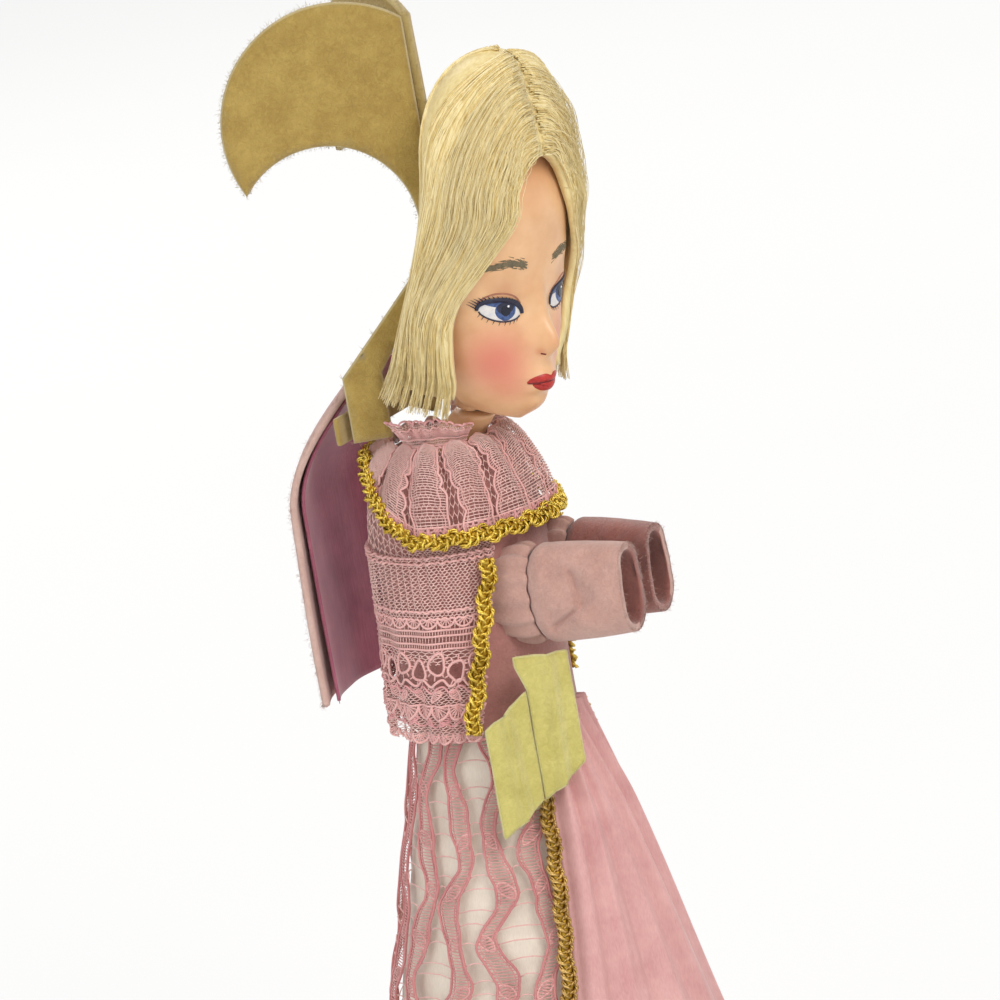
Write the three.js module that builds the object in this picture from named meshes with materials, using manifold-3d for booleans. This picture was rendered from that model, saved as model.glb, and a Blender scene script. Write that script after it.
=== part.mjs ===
// Celluloid-faced angel figure: a card cone dressed in satin, lace and felt, with a head that turns,
// sleeves that swing, wings that tilt and a song book that folds.
// Millimetres, +Z up. The figure faces -Y and stands on z = 0, with the origin in the middle of its base.
import * as THREE from 'three';
import { mergeVertices } from 'three/addons/utils/BufferGeometryUtils.js';
import Module from 'manifold-3d';

const wasm = await Module();
wasm.setup();

// Clearance between pieces that touch
const GAP = 0.3;

// Base and cone
const BASE_THICK = 1.2;
const CONE_WALL = 0.8;
const CONE_FOOT_RADIUS = 22.4;
const WAIST_Z = 64;
const WAIST_RADIUS = 7.4;
const CONE_TOP_Z = 93;
const CONE_TOP_RADIUS = 4.2;

// Neck wire and plug. The wire straightens at NECK_FOOT and ends at PEG_TOP, heights in the head's own frame.
const PEG_RADIUS = 0.7;
const PLUG_LENGTH = 8;
const NECK_BEND_Z = 93.6;
const NECK_FOOT = -21;
const PEG_TOP = -4.5;
const SOCKET_WALL = 0.6;
const SOCKET_FOOT = -14.2;

// Torso
const CHEST_RADIUS = 8.6;
const NECK_RADIUS = 5.4;
const SHOULDER_Z = 84;
const NECK_Z = 95;
const FELT = 0.8;

// Skirts
const SKIRT_TOP_Z = 65;
const HEM_Z = 0.5;
const SATIN = 0.7;
const LACE = 0.8;
const FLUTES = 12;
const FLUTE_DEPTH = 0.5;
const OPENING_ANGLE_TOP = 30;
const OPENING_ANGLE_HEM = 66;
const PANEL_FOLDS = 6;
const PANEL_FOLD_DEPTH = 0.4;
const PANEL_SIDE_GAP = 0.5;

// Capelet and collar
const CAPELET_HEM_Z = 64.6;
const CAPELET_TOP_Z = 86;
const CAPELET_ANGLE_TOP = 40;
const CAPELET_ANGLE_HEM = 68;
const CAPELET_RIPPLES = 16;
const CAPELET_RIPPLE_DEPTH = 0.3;
const CAPELET_FLARE = 0.6;
const COLLAR_GATHERS = 14;
const COLLAR_GATHER_DEPTH = 0.5;
const COLLAR_EDGE_FRONT = 15;
const COLLAR_EDGE_BACK = 58;
const COLLAR_TOP = 84;
const COLLAR_RISE_START = 80;
const COLLAR_RISE_END = 150;
const FRILL_ANGLE_FRONT = 34;
const FRILL_ANGLE_BACK = 108;
const FRILL_RISE = 2.2;
const FRILL_RISE_FRONT = 0.8;
const FRILL_FLARE = 2.6;
const FRILL_GATHERS = 15;

// Gold braid
const BRAID_HALF_WIDTH = 1.1;
const BRAID_HALF_THICK = 0.75;

// Cape
const CAPE_HALF_ANGLE = 31;
const CAPE_TOP_Z = 105.5;
const CAPE_HEM_Z = 68.5;
const CAPE_TOP_RADIUS = 8.2;
const CAPE_RADIUS = 18;
const CAPE_SHOULDER_DROP = 15;
const LINING = 0.5;
const CAPE_MARGIN_ANGLE = 4;

// Sleeves
const SLEEVE_PIVOT_SIDE = 4.7;
const SLEEVE_STANDOFF = 3;
const SLEEVE_END_SIDE = 3.5;
const SLEEVE_LENGTH = 9.2;
const SLEEVE_Z = 79.7;
const SLEEVE_HALF_WIDTH = 2.8;
const SLEEVE_HALF_HEIGHT = 5.6;
const SLEEVE_END_HALF_HEIGHT = 5;
const STUB_HALF_WIDTH = 1.7;
const STUB_HALF_HEIGHT = 4.2;
const CUFF_WALL = 0.9;
const CUFF_DEPTH = 2;

// Song book
const BOOK_ANGLE = 50;
const BOOK_CREASE_SIDE = 1.8;
const BOOK_LEAF_WIDTH = 5;
const BOOK_LEAF_HEIGHT = 12.4;
const BOOK_LEAF_RISE = 3.4;
const BOOK_FOOT_Z = 57.3;
const BOOK_PAPER = 0.7;

// Wings: flat felt shapes that stand at an angle to the figure's middle plane
const WING_SPLAY = 30;
const WING_APEX_FORWARD = 5.6;
const WING_FELT = 1.2;
const WING_STEM = 1.9;
const WING_STEM_ANGLE = 225;
const WING_NOTCH_OUT = 13.2;
const WING_NOTCH_Z = 121.5;
const WING_ARCH_OUT = 9.6;
const WING_ARCH_Z = 133.6;
const WING_ARCH_RADIUS = 13.2;
const WING_ROOT_OUT = 14.6;
const WING_ROOT_WIDTH = 4.4;
const WING_ROOT_Z = 98.2;
const WING_ROOT_TOP_Z = 105.6;
const BRIDGE_HEIGHT = 3.2;

// Head, in its own frame: side, forward and up from the middle of the head
const HEAD_FORWARD = 10.2;
const HEAD_Z = 116.5;
const HEAD_BOW = 14;
const HEAD_TURN = 14;
const HEAD_AXIS_BACK = 1.1;
const CHIN = -17;
const MASK_TOP = 18.5;
const FACE_HALF_WIDTH = 9.3;
const FACE_DEPTH = 6.8;
const FACE_EDGE_HALF_WIDTH = 0.9;
const FACE_WIDEST = 1.75;
const JAW_ROUND = 2.1;
const BROW_ROUND = 2.4;
const CHIN_UNDERCUT = 8;
const JAW_HEIGHT = 4.5;
const FOREHEAD_HEIGHT = 13;
const FOREHEAD_SLOPE = 0.75;
const MASK_WALL = 0.8;
const BACKING_DEPTH = 3.6;
const BACKING_FRONT = 1.4;
const BACKING_FOOT = -13.5;
const BACKING_TOP = 16;
const BACKING_CLEAR = 0.5;
const BACKING_END = 0.04;
const BACKING_CORNER = 0.9;

// Soft swellings of the face: where each lies, how far it stands out, and how wide and tall it is
const FACE_FEATURES = [
  { name: 'nose tip', side: 0, height: -7.2, out: 2.5, wide: 1.5, tall: 2.2 },
  { name: 'nose bridge', side: 0, height: -4, out: 0.9, wide: 1.2, tall: 3 },
  { name: 'mouth', side: 0, height: -11.5, out: 1.3, wide: 4.6, tall: 4 },
  { name: 'lips', side: 0, height: -11.6, out: 1.3, wide: 2.4, tall: 1.3 },
  { name: 'chin', side: 0, height: -15, out: 1.1, wide: 2.6, tall: 1.8 },
  { name: 'cheek', side: 5, height: -8, out: 0.5, wide: 2.6, tall: 3.4 },
  { name: 'eye socket', side: 4, height: -3.6, out: -0.5, wide: 2, tall: 1.5 },
];

// Hair
const HAIRLINE = 9.5;
const HAIR_TOP = 23.6;
const HAIR_FOOT = -15.6;
const HAIR_FACE_ANGLE = 67;
const HAIR_SIDE_ANGLE = 114;
const HAIR_SEAM_ANGLE = 8;
const HAIR_THICK = 1.5;
const HAIR_SWEEP = 4.6;
const HAIR_SPREAD = 2;
const HAIR_CLEAR = 0.4;
const HAIR_CHEEK = -12;
const HAIR_EDGE_THICK = 0.7;
const HAIR_FOOT_SWELL = 0.8;
const HAIR_BACK_THICK = 0.9;
const HAIR_BACK_FOOT = -12;
const CROWN_BULGE = 1.5;
const CROWN_ROUND = 0.8;

// Colours
const CARD = 0xc0b08c;
const CORK = 0xb08b5a;
const WIRE = 0x9a8f80;
const WADDING = 0xd8cfc0;
const PINK_FELT = 0xc3968f;
const PINK_LACE = 0xd0a0a4;
const PINK_SATIN = 0xc98f9c;
const WHITE_SATIN = 0xc6bea9;
const VIOLET_SATIN = 0x96566e;
const MUSTARD = 0x8a7426;
const YELLOW_PAPER = 0xbeb969;
const SKIN = 0xd8a582;
const BLOND = 0xcdb886;
const GOLD = 0xa08420;

const fullTurn = 360;
const rad = THREE.MathUtils.degToRad;
const lerp = THREE.MathUtils.lerp;
const smooth = THREE.MathUtils.smoothstep;
const figure = new THREE.Group();

// Basic operations

// A point at an angle from the front, towards the figure's right, with a radius and a height
function polar(angle, radius, height) {
  return new THREE.Vector3(-radius * Math.sin(angle), -radius * Math.cos(angle), height);
}

// A closed body from points and triangles, turned so that its faces point out
function closedBody(points, faces) {
  let volume = 0;
  for (let k = 0; k < faces.length; k += 3) {
    const cross = new THREE.Vector3().crossVectors(points[faces[k + 1]], points[faces[k + 2]]);
    volume += points[faces[k]].dot(cross);
  }
  const turned = volume < 0 ? [...faces].reverse() : faces;
  const geometry = new THREE.BufferGeometry().setFromPoints(points);
  geometry.setIndex(turned);
  geometry.computeVertexNormals();
  return geometry;
}

// A sheet with an outer and an inner face. It goes right round as a ring, or ends in a pole at the top.
function sheet({ columns, rows, ring = false, pole = false, outer, inner }) {
  const across = ring ? columns : columns + 1;
  const levels = pole ? rows : rows + 1;
  const last = levels - 1;
  const points = [];
  for (const side of [outer, inner]) {
    for (let j = 0; j < levels; j += 1) {
      for (let i = 0; i < across; i += 1) points.push(side(i / columns, j / rows));
    }
  }
  const faces = [];
  const at = (side, i, j) => side * across * levels + j * across + (i % across);
  const quad = (a, b, c, d) => faces.push(a, b, c, a, c, d);
  for (let i = 0; i < columns; i += 1) {
    for (let j = 0; j < last; j += 1) {
      quad(at(0, i, j), at(0, i + 1, j), at(0, i + 1, j + 1), at(0, i, j + 1));
      quad(at(1, i, j + 1), at(1, i + 1, j + 1), at(1, i + 1, j), at(1, i, j));
    }
    quad(at(1, i, 0), at(1, i + 1, 0), at(0, i + 1, 0), at(0, i, 0));
    if (!pole) quad(at(0, i, last), at(0, i + 1, last), at(1, i + 1, last), at(1, i, last));
  }
  for (let j = 0; j < last && !ring; j += 1) {
    quad(at(0, 0, j), at(0, 0, j + 1), at(1, 0, j + 1), at(1, 0, j));
    quad(at(1, columns, j), at(1, columns, j + 1), at(0, columns, j + 1), at(0, columns, j));
  }
  if (pole) {
    const tip = points.push(outer(0, 1), inner(0, 1)) - 2;
    for (let i = 0; i < columns; i += 1) {
      faces.push(at(0, i, last), at(0, i + 1, last), tip);
      faces.push(at(1, i + 1, last), at(1, i, last), tip + 1);
    }
  }
  return closedBody(points, faces);
}

// A body through rings of points, with closed ends, or joined end to end as a loop
function loft(rings, loop = false) {
  const count = rings[0].length;
  const points = rings.flat();
  const faces = [];
  const steps = loop ? rings.length : rings.length - 1;
  for (let k = 0; k < steps; k += 1) {
    const low = k * count;
    const high = ((k + 1) % rings.length) * count;
    for (let i = 0; i < count; i += 1) {
      const next = (i + 1) % count;
      faces.push(low + i, low + next, high + next, low + i, high + next, high + i);
    }
  }
  if (!loop) {
    const middle = (ring) => ring.reduce((sum, p) => sum.add(p), new THREE.Vector3()).divideScalar(count);
    const foot = points.push(middle(rings[0]), middle(rings.at(-1))) - 2;
    const start = (rings.length - 1) * count;
    for (let i = 0; i < count; i += 1) {
      const next = (i + 1) % count;
      faces.push(next, i, foot, start + i, start + next, foot + 1);
    }
  }
  return closedBody(points, faces);
}

// A flat braid along stations that each have a point and the direction away from the cloth
function braid(stations, loop = false) {
  const sides = 6;
  const rings = stations.map(({ point, out }, k) => {
    const before = stations[loop ? (k + stations.length - 1) % stations.length : Math.max(k - 1, 0)];
    const after = stations[loop ? (k + 1) % stations.length : Math.min(k + 1, stations.length - 1)];
    const along = after.point.clone().sub(before.point).normalize();
    const across = new THREE.Vector3().crossVectors(along, out).normalize();
    const up = new THREE.Vector3().crossVectors(across, along);
    return Array.from({ length: sides }, (_, i) => {
      const turn = (i / sides) * 2 * Math.PI;
      const place = point.clone().addScaledVector(across, BRAID_HALF_WIDTH * Math.cos(turn));
      return place.addScaledVector(up, BRAID_HALF_THICK * Math.sin(turn));
    });
  });
  return loft(rings, loop);
}

// One solid cut out of another
function cut(body, tool) {
  const solid = (geometry) => {
    const bare = geometry.clone();
    bare.deleteAttribute('normal');
    bare.deleteAttribute('uv');
    const merged = mergeVertices(bare, 1e-5);
    const vertProperties = new Float32Array(merged.attributes.position.array);
    const triVerts = new Uint32Array(merged.index.array);
    return new wasm.Manifold(new wasm.Mesh({ numProp: 3, vertProperties, triVerts }));
  };
  const mesh = solid(body).subtract(solid(tool)).getMesh();
  const geometry = new THREE.BufferGeometry();
  geometry.setAttribute('position', new THREE.BufferAttribute(mesh.vertProperties, mesh.numProp));
  geometry.setIndex(new THREE.BufferAttribute(mesh.triVerts, 1));
  geometry.computeVertexNormals();
  return geometry;
}

// A named piece, placed in a group
function piece(name, geometry, color, roughness, parent = figure, metalness = 0) {
  const material = new THREE.MeshStandardMaterial({ color, roughness, metalness });
  const mesh = new THREE.Mesh(geometry, material);
  mesh.name = name;
  parent.add(mesh);
  return mesh;
}

// Layers of the body, from the inside out

const coneFootZ = BASE_THICK + GAP;

function coneRadius(z) {
  if (z < WAIST_Z) return lerp(CONE_FOOT_RADIUS, WAIST_RADIUS, (z - coneFootZ) / (WAIST_Z - coneFootZ));
  return lerp(WAIST_RADIUS, CONE_TOP_RADIUS, (z - WAIST_Z) / (CONE_TOP_Z - WAIST_Z));
}

const underskirtInner = (z) => coneRadius(z) + GAP;
const underskirtOuter = (z) => underskirtInner(z) + SATIN;
const overskirtInner = (z) => underskirtOuter(z) + GAP;
const skirtHeight = (z) => (z - HEM_Z) / (SKIRT_TOP_Z - HEM_Z);
const openingAngle = (z) => rad(lerp(OPENING_ANGLE_HEM, OPENING_ANGLE_TOP, skirtHeight(z)));

// The torso is straight up to the shoulder, then rounds over to the neck.
// A place on it has an angle round the figure, an angle over the shoulder and a depth of layers.
function torsoPoint(around, over, depth) {
  const radius = NECK_RADIUS + (CHEST_RADIUS - NECK_RADIUS + depth) * Math.cos(over);
  const height = SHOULDER_Z + (NECK_Z - SHOULDER_Z + depth) * Math.sin(over);
  return polar(around, radius, height);
}

const bodiceDepth = GAP;
const bodiceSkin = bodiceDepth + FELT;
const collarDepth = bodiceSkin + GAP + COLLAR_GATHER_DEPTH;
const collarSkin = collarDepth + LACE + COLLAR_GATHER_DEPTH;

// The head bows forward and looks a little to the figure's right, turning on a line that bows with it
const headTurn = new THREE.Group();
headTurn.rotation.set(rad(HEAD_BOW), 0, -rad(HEAD_TURN));
headTurn.position.set(0, HEAD_AXIS_BACK * Math.cos(rad(HEAD_BOW)) - HEAD_FORWARD, HEAD_Z);
headTurn.position.z += HEAD_AXIS_BACK * Math.sin(rad(HEAD_BOW));
figure.add(headTurn);
const head = new THREE.Group();
head.position.set(0, -HEAD_AXIS_BACK, 0);
headTurn.add(head);
figure.updateMatrixWorld(true);

// Base, cone and neck

function base() {
  const disc = new THREE.CylinderGeometry(CONE_FOOT_RADIUS, CONE_FOOT_RADIUS, BASE_THICK, 48);
  disc.rotateX(Math.PI / 2);
  disc.translate(0, 0, BASE_THICK / 2);
  piece('base_disc', disc, CARD, 0.9);
}

function cone() {
  const heights = [coneFootZ, WAIST_Z, CONE_TOP_Z];
  const at = (inset) => (s, t) => {
    const z = heights[Math.round(t * 2)];
    return polar(s * 2 * Math.PI, coneRadius(z) - inset, z);
  };
  const card = sheet({ columns: 40, rows: 2, ring: true, outer: at(0), inner: at(CONE_WALL) });
  piece('body_cone', card, CARD, 0.9);
}

function neck() {
  const plugTop = CONE_TOP_Z;
  const plugFoot = plugTop - PLUG_LENGTH;
  const wall = (z) => coneRadius(z) - CONE_WALL - GAP;
  const bore = PEG_RADIUS + GAP;
  const profile = [[0, plugFoot], [wall(plugTop), plugFoot], [wall(plugTop), plugTop], [bore, plugTop]];
  profile.push([bore, plugFoot + PEG_RADIUS], [0, plugFoot + PEG_RADIUS]);
  const plug = new THREE.LatheGeometry(profile.map(([r, z]) => new THREE.Vector2(r, z)), 20);
  plug.rotateX(Math.PI / 2);
  piece('neck_plug', plug, CORK, 0.8);

  const corners = [
    new THREE.Vector3(0, 0, plugFoot + PEG_RADIUS + GAP),
    new THREE.Vector3(0, 0, NECK_BEND_Z),
    headTurn.localToWorld(new THREE.Vector3(0, 0, NECK_FOOT)),
    headTurn.localToWorld(new THREE.Vector3(0, 0, PEG_TOP)),
  ];
  const rings = corners.map((corner, k) => {
    const along = new THREE.Vector3();
    if (k > 0) along.add(corner.clone().sub(corners[k - 1]).normalize());
    if (k < corners.length - 1) along.add(corners[k + 1].clone().sub(corner).normalize());
    along.normalize();
    const side = new THREE.Vector3(1, 0, 0);
    const up = new THREE.Vector3().crossVectors(along, side);
    const sides = 12;
    return Array.from({ length: sides }, (_, i) => {
      const turn = (i / sides) * 2 * Math.PI;
      const place = corner.clone().addScaledVector(side, PEG_RADIUS * Math.cos(turn));
      return place.addScaledVector(up, PEG_RADIUS * Math.sin(turn));
    });
  });
  piece('neck_peg', loft(rings), WIRE, 0.5, figure, 0.6);
}

// Torso padding and bodice

const torsoRows = 6;
const torsoFoot = WAIST_Z + FELT + GAP;

function torsoFace(depth) {
  return (s, t) => {
    const around = s * 2 * Math.PI;
    if (t === 0) return polar(around, CHEST_RADIUS + depth, torsoFoot);
    return torsoPoint(around, rad(90) * ((t * torsoRows - 1) / (torsoRows - 1)), depth);
  };
}

function torso() {
  const outer = torsoFace(0);
  const inner = (s, t) => {
    const { z } = outer(s, t);
    return polar(s * 2 * Math.PI, coneRadius(Math.min(z, CONE_TOP_Z)) + GAP, z);
  };
  piece('torso_padding', sheet({ columns: 28, rows: torsoRows, ring: true, outer, inner }), WADDING, 0.95);
  const felt = { outer: torsoFace(bodiceSkin), inner: torsoFace(bodiceDepth) };
  piece('bodice', sheet({ columns: 36, rows: torsoRows, ring: true, ...felt }), PINK_FELT, 0.95);
}

// Skirts

const fluteSpread = (z) => 2 * FLUTE_DEPTH * (1 - skirtHeight(z));
const skirtBraidRadius = (z) => overskirtInner(z) + LACE + fluteSpread(z) + GAP + BRAID_HALF_THICK;

function skirts() {
  const heights = [HEM_Z, WAIST_Z, SKIRT_TOP_Z];
  const around = (radius) => (s, t) => {
    const z = heights[Math.round(t * 2)];
    return polar(s * 2 * Math.PI, radius(z), z);
  };
  const under = { outer: around(underskirtOuter), inner: around(underskirtInner) };
  piece('underskirt', sheet({ columns: 40, rows: 2, ring: true, ...under }), WHITE_SATIN, 0.45);

  const flute = (angle, z) => fluteSpread(z) * (1 + Math.cos(FLUTES * angle)) / 2;
  const lace = (depth) => (s, t) => {
    const z = lerp(HEM_Z, SKIRT_TOP_Z, t);
    const edge = openingAngle(z);
    const angle = lerp(edge, 2 * Math.PI - edge, s);
    return polar(angle, overskirtInner(z) + flute(angle, z) + depth, z);
  };
  const over = sheet({ columns: 48, rows: 5, outer: lace(LACE), inner: lace(0) });
  piece('lace_overskirt', over, PINK_LACE, 0.9);

  const satin = (depth) => (s, t) => {
    const z = lerp(HEM_Z, SKIRT_TOP_Z, t);
    const edge = openingAngle(z) - PANEL_SIDE_GAP / overskirtInner(z);
    const angle = lerp(-edge, edge, s);
    const fold = PANEL_FOLD_DEPTH * (1 - Math.cos(PANEL_FOLDS * 2 * Math.PI * s));
    return polar(angle, overskirtInner(z) + fold + depth, z);
  };
  const panel = sheet({ columns: 24, rows: 6, outer: satin(SATIN), inner: satin(0) });
  piece('front_panel', panel, PINK_SATIN, 0.4);

  for (const [name, side] of [['right', 1], ['left', -1]]) {
    const steps = 14;
    const stations = Array.from({ length: steps + 1 }, (_, k) => {
      const z = lerp(HEM_Z + BRAID_HALF_WIDTH, SKIRT_TOP_Z - BRAID_HALF_WIDTH, k / steps);
      const radius = skirtBraidRadius(z);
      const angle = side * (openingAngle(z) + BRAID_HALF_WIDTH / radius);
      return { point: polar(angle, radius, z), out: polar(angle, 1, 0) };
    });
    piece(`overskirt_braid_${name}`, braid(stations), GOLD, 0.4, figure, 0.7);
  }
}

// Capelet, collar and their braid

const capeletHeight = (z) => (z - CAPELET_HEM_Z) / (CAPELET_TOP_Z - CAPELET_HEM_Z);
const capeletAngle = (z) => rad(lerp(CAPELET_ANGLE_HEM, CAPELET_ANGLE_TOP, capeletHeight(z)));
const capeletFoot = Math.max(CHEST_RADIUS + bodiceSkin, overskirtInner(SKIRT_TOP_Z) + LACE) + GAP;
const capeletInner = (z) => capeletFoot + CAPELET_FLARE * (1 - capeletHeight(z));

function capelet() {
  const ripple = (angle) => CAPELET_RIPPLE_DEPTH * (1 + Math.cos(CAPELET_RIPPLES * angle));
  const lace = (depth) => (s, t) => {
    const z = lerp(CAPELET_HEM_Z, CAPELET_TOP_Z, t);
    const edge = capeletAngle(z);
    const angle = lerp(edge, 2 * Math.PI - edge, s);
    return polar(angle, capeletInner(z) + ripple(angle) * (1 - t) + depth, z);
  };
  piece('lace_capelet', sheet({ columns: 48, rows: 3, outer: lace(LACE), inner: lace(0) }), PINK_LACE, 0.9);
  for (const [name, side] of [['right', 1], ['left', -1]]) {
    const steps = 8;
    const stations = Array.from({ length: steps + 1 }, (_, k) => {
      const z = lerp(CAPELET_HEM_Z + BRAID_HALF_WIDTH, CAPELET_TOP_Z - BRAID_HALF_WIDTH, k / steps);
      const spread = 2 * CAPELET_RIPPLE_DEPTH * (1 - capeletHeight(z));
      const radius = capeletInner(z) + LACE + spread + GAP + BRAID_HALF_THICK;
      const angle = side * (capeletAngle(z) + BRAID_HALF_WIDTH / radius);
      return { point: polar(angle, radius, z), out: polar(angle, 1, 0) };
    });
    piece(`capelet_braid_${name}`, braid(stations), GOLD, 0.4, figure, 0.7);
  }
}

// The collar's lower edge is level at the front and rises towards the nape
function collarEdge(angle) {
  const back = Math.abs(Math.atan2(Math.sin(angle), Math.cos(angle)));
  const rise = smooth(back, rad(COLLAR_RISE_START), rad(COLLAR_RISE_END));
  return rad(lerp(COLLAR_EDGE_FRONT, COLLAR_EDGE_BACK, rise));
}

function collar() {
  const lace = (depth) => (s, t) => {
    const angle = s * 2 * Math.PI;
    const over = lerp(collarEdge(angle), rad(COLLAR_TOP), t);
    const gather = COLLAR_GATHER_DEPTH * Math.cos(COLLAR_GATHERS * angle);
    return torsoPoint(angle, over, depth + gather);
  };
  const faces = { outer: lace(collarDepth + LACE), inner: lace(collarDepth) };
  piece('lace_collar', sheet({ columns: 56, rows: 3, ring: true, ...faces }), PINK_LACE, 0.9);
  frill();
  const steps = 40;
  const stations = Array.from({ length: steps }, (_, k) => {
    const angle = (k / steps) * 2 * Math.PI;
    const over = collarEdge(angle);
    const point = torsoPoint(angle, over, collarSkin + GAP + BRAID_HALF_THICK);
    const out = point.clone().sub(torsoPoint(angle, over, 0)).normalize();
    return { point, out };
  });
  piece('collar_braid', braid(stations, true), GOLD, 0.4, figure, 0.7);
}

// The collar's upright heading, on each side of the neck, lower towards the chin
function frill() {
  const seat = torsoPoint(0, rad(COLLAR_TOP), collarSkin);
  const foot = seat.z + GAP;
  for (const [name, mirror] of [['right', 1], ['left', -1]]) {
    const lace = (depth) => (s, t) => {
      const angle = rad(lerp(FRILL_ANGLE_FRONT, FRILL_ANGLE_BACK, s));
      const gather = COLLAR_GATHER_DEPTH * Math.cos(FRILL_GATHERS * angle) * t;
      const radius = NECK_RADIUS + FRILL_FLARE * t + gather + depth;
      const rise = lerp(FRILL_RISE_FRONT, FRILL_RISE, smooth(s, 0, 0.5));
      return polar(mirror * angle, radius, foot + rise * t);
    };
    const cloth = sheet({ columns: 20, rows: 2, outer: lace(LACE), inner: lace(0) });
    piece(`lace_frill_${name}`, cloth, PINK_LACE, 0.9);
  }
}

// Cape and lining

function capes() {
  const profile = (z) => {
    const drop = Math.min((CAPE_TOP_Z - z) / CAPE_SHOULDER_DROP, 1);
    return lerp(CAPE_TOP_RADIUS, CAPE_RADIUS, Math.sin(rad(90) * drop));
  };
  const felt = (inset, margin) => (s, t) => {
    const z = lerp(CAPE_HEM_Z, CAPE_TOP_Z, t);
    const half = rad(CAPE_HALF_ANGLE) - margin;
    return polar(Math.PI + lerp(-half, half, s), profile(z) - inset, z);
  };
  piece('cape', sheet({ columns: 10, rows: 12, outer: felt(0, 0), inner: felt(FELT, 0) }), PINK_FELT, 0.95);
  const margin = rad(CAPE_MARGIN_ANGLE);
  const lining = { outer: felt(FELT + GAP, margin), inner: felt(FELT + GAP + LINING, margin) };
  piece('cape_lining', sheet({ columns: 10, rows: 12, ...lining }), VIOLET_SATIN, 0.4);
}

// Sleeves: stuffed felt, round at the seam so that each swings about an upright line there

const chestSkin = CHEST_RADIUS + bodiceSkin + GAP;
const sleevePivotForward = chestSkin + SLEEVE_STANDOFF;

function sleeves() {
  const points = 20;
  const ringAt = (along, wide, high) => {
    const side = lerp(SLEEVE_PIVOT_SIDE, SLEEVE_END_SIDE, Math.max(along, 0) / SLEEVE_LENGTH);
    return Array.from({ length: points }, (_, i) => {
      const turn = (i / points) * 2 * Math.PI;
      const x = -side + wide * Math.cos(turn);
      return new THREE.Vector3(x, -sleevePivotForward - along, SLEEVE_Z + high * Math.sin(turn));
    });
  };
  const rings = [];
  for (const tilt of [80, 60, 40, 20]) {
    const shrink = Math.cos(rad(tilt));
    const back = -SLEEVE_HALF_WIDTH * Math.sin(rad(tilt));
    rings.push(ringAt(back, SLEEVE_HALF_WIDTH * shrink, SLEEVE_HALF_HEIGHT * shrink));
  }
  for (const t of [0, 0.35, 0.7, 1]) {
    const high = lerp(SLEEVE_HALF_HEIGHT, SLEEVE_END_HALF_HEIGHT, t * t);
    rings.push(ringAt(SLEEVE_LENGTH * t, SLEEVE_HALF_WIDTH, high));
  }
  const mouthWide = SLEEVE_HALF_WIDTH - CUFF_WALL;
  const mouthHigh = SLEEVE_END_HALF_HEIGHT - CUFF_WALL;
  rings.push(ringAt(SLEEVE_LENGTH, mouthWide, mouthHigh));
  rings.push(ringAt(SLEEVE_LENGTH - CUFF_DEPTH, mouthWide, mouthHigh));
  for (const [name, mirror] of [['right', 1], ['left', -1]]) {
    const copy = rings.map((ring) => ring.map((p) => new THREE.Vector3(p.x * mirror, p.y, p.z)));
    piece(`${name}_sleeve`, loft(copy), PINK_FELT, 0.95);
    stub(name, mirror);
  }
}

// The felt stub that joins a sleeve to the chest, hollowed for the sleeve's round end
function stub(name, mirror) {
  const steps = 6;
  const ring = (z) => {
    const low = [];
    const far = [];
    for (let k = 0; k <= steps; k += 1) {
      const x = lerp(-STUB_HALF_WIDTH, STUB_HALF_WIDTH, k / steps);
      const side = SLEEVE_PIVOT_SIDE + x;
      low.push(new THREE.Vector3(-side * mirror, -Math.sqrt(chestSkin ** 2 - side ** 2), z));
      const hollow = Math.sqrt((SLEEVE_HALF_WIDTH + GAP) ** 2 - x ** 2);
      far.unshift(new THREE.Vector3(-side * mirror, hollow - sleevePivotForward, z));
    }
    return [...low, ...far];
  };
  const felt = loft([ring(SLEEVE_Z - STUB_HALF_HEIGHT), ring(SLEEVE_Z + STUB_HALF_HEIGHT)]);
  piece(`${name}_arm_root`, felt, PINK_FELT, 0.95);
}

// Song book: two slanted leaves that meet at an upright crease, tucked against the skirt's braid

const bookDistance = skirtBraidRadius(BOOK_FOOT_Z) + BRAID_HALF_THICK + GAP;

function songBook() {
  const book = new THREE.Group();
  const turn = rad(BOOK_ANGLE);
  const crease = polar(turn, bookDistance, BOOK_FOOT_Z);
  crease.addScaledVector(polar(turn - Math.PI / 2, 1, 0), BOOK_CREASE_SIDE);
  book.position.copy(crease);
  book.rotation.z = -turn;
  figure.add(book);
  const leaf = (side) => {
    const near = side * GAP / 2;
    const far = side * (BOOK_LEAF_WIDTH + GAP / 2);
    const rise = side * BOOK_LEAF_RISE;
    const outline = [[near, 0], [far, rise], [far, rise + BOOK_LEAF_HEIGHT], [near, BOOK_LEAF_HEIGHT]];
    const shape = new THREE.Shape(outline.map(([x, z]) => new THREE.Vector2(x, z)));
    const sheetOfPaper = new THREE.ExtrudeGeometry(shape, { depth: BOOK_PAPER, bevelEnabled: false });
    sheetOfPaper.rotateX(Math.PI / 2);
    return sheetOfPaper;
  };
  piece('songbook_back_leaf', leaf(1), YELLOW_PAPER, 0.9, book);
  piece('songbook_front_leaf', leaf(-1), YELLOW_PAPER, 0.9, book);
}

// Wings: an arch and a round notch, with a stem that leaves the notch straight for the root

const wingInner = (GAP / 2 + (WING_FELT / 2) * Math.cos(rad(WING_SPLAY))) / Math.sin(rad(WING_SPLAY));
const stemRadius = WING_NOTCH_OUT - wingInner;
const notchRadius = stemRadius - WING_STEM;

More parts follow.
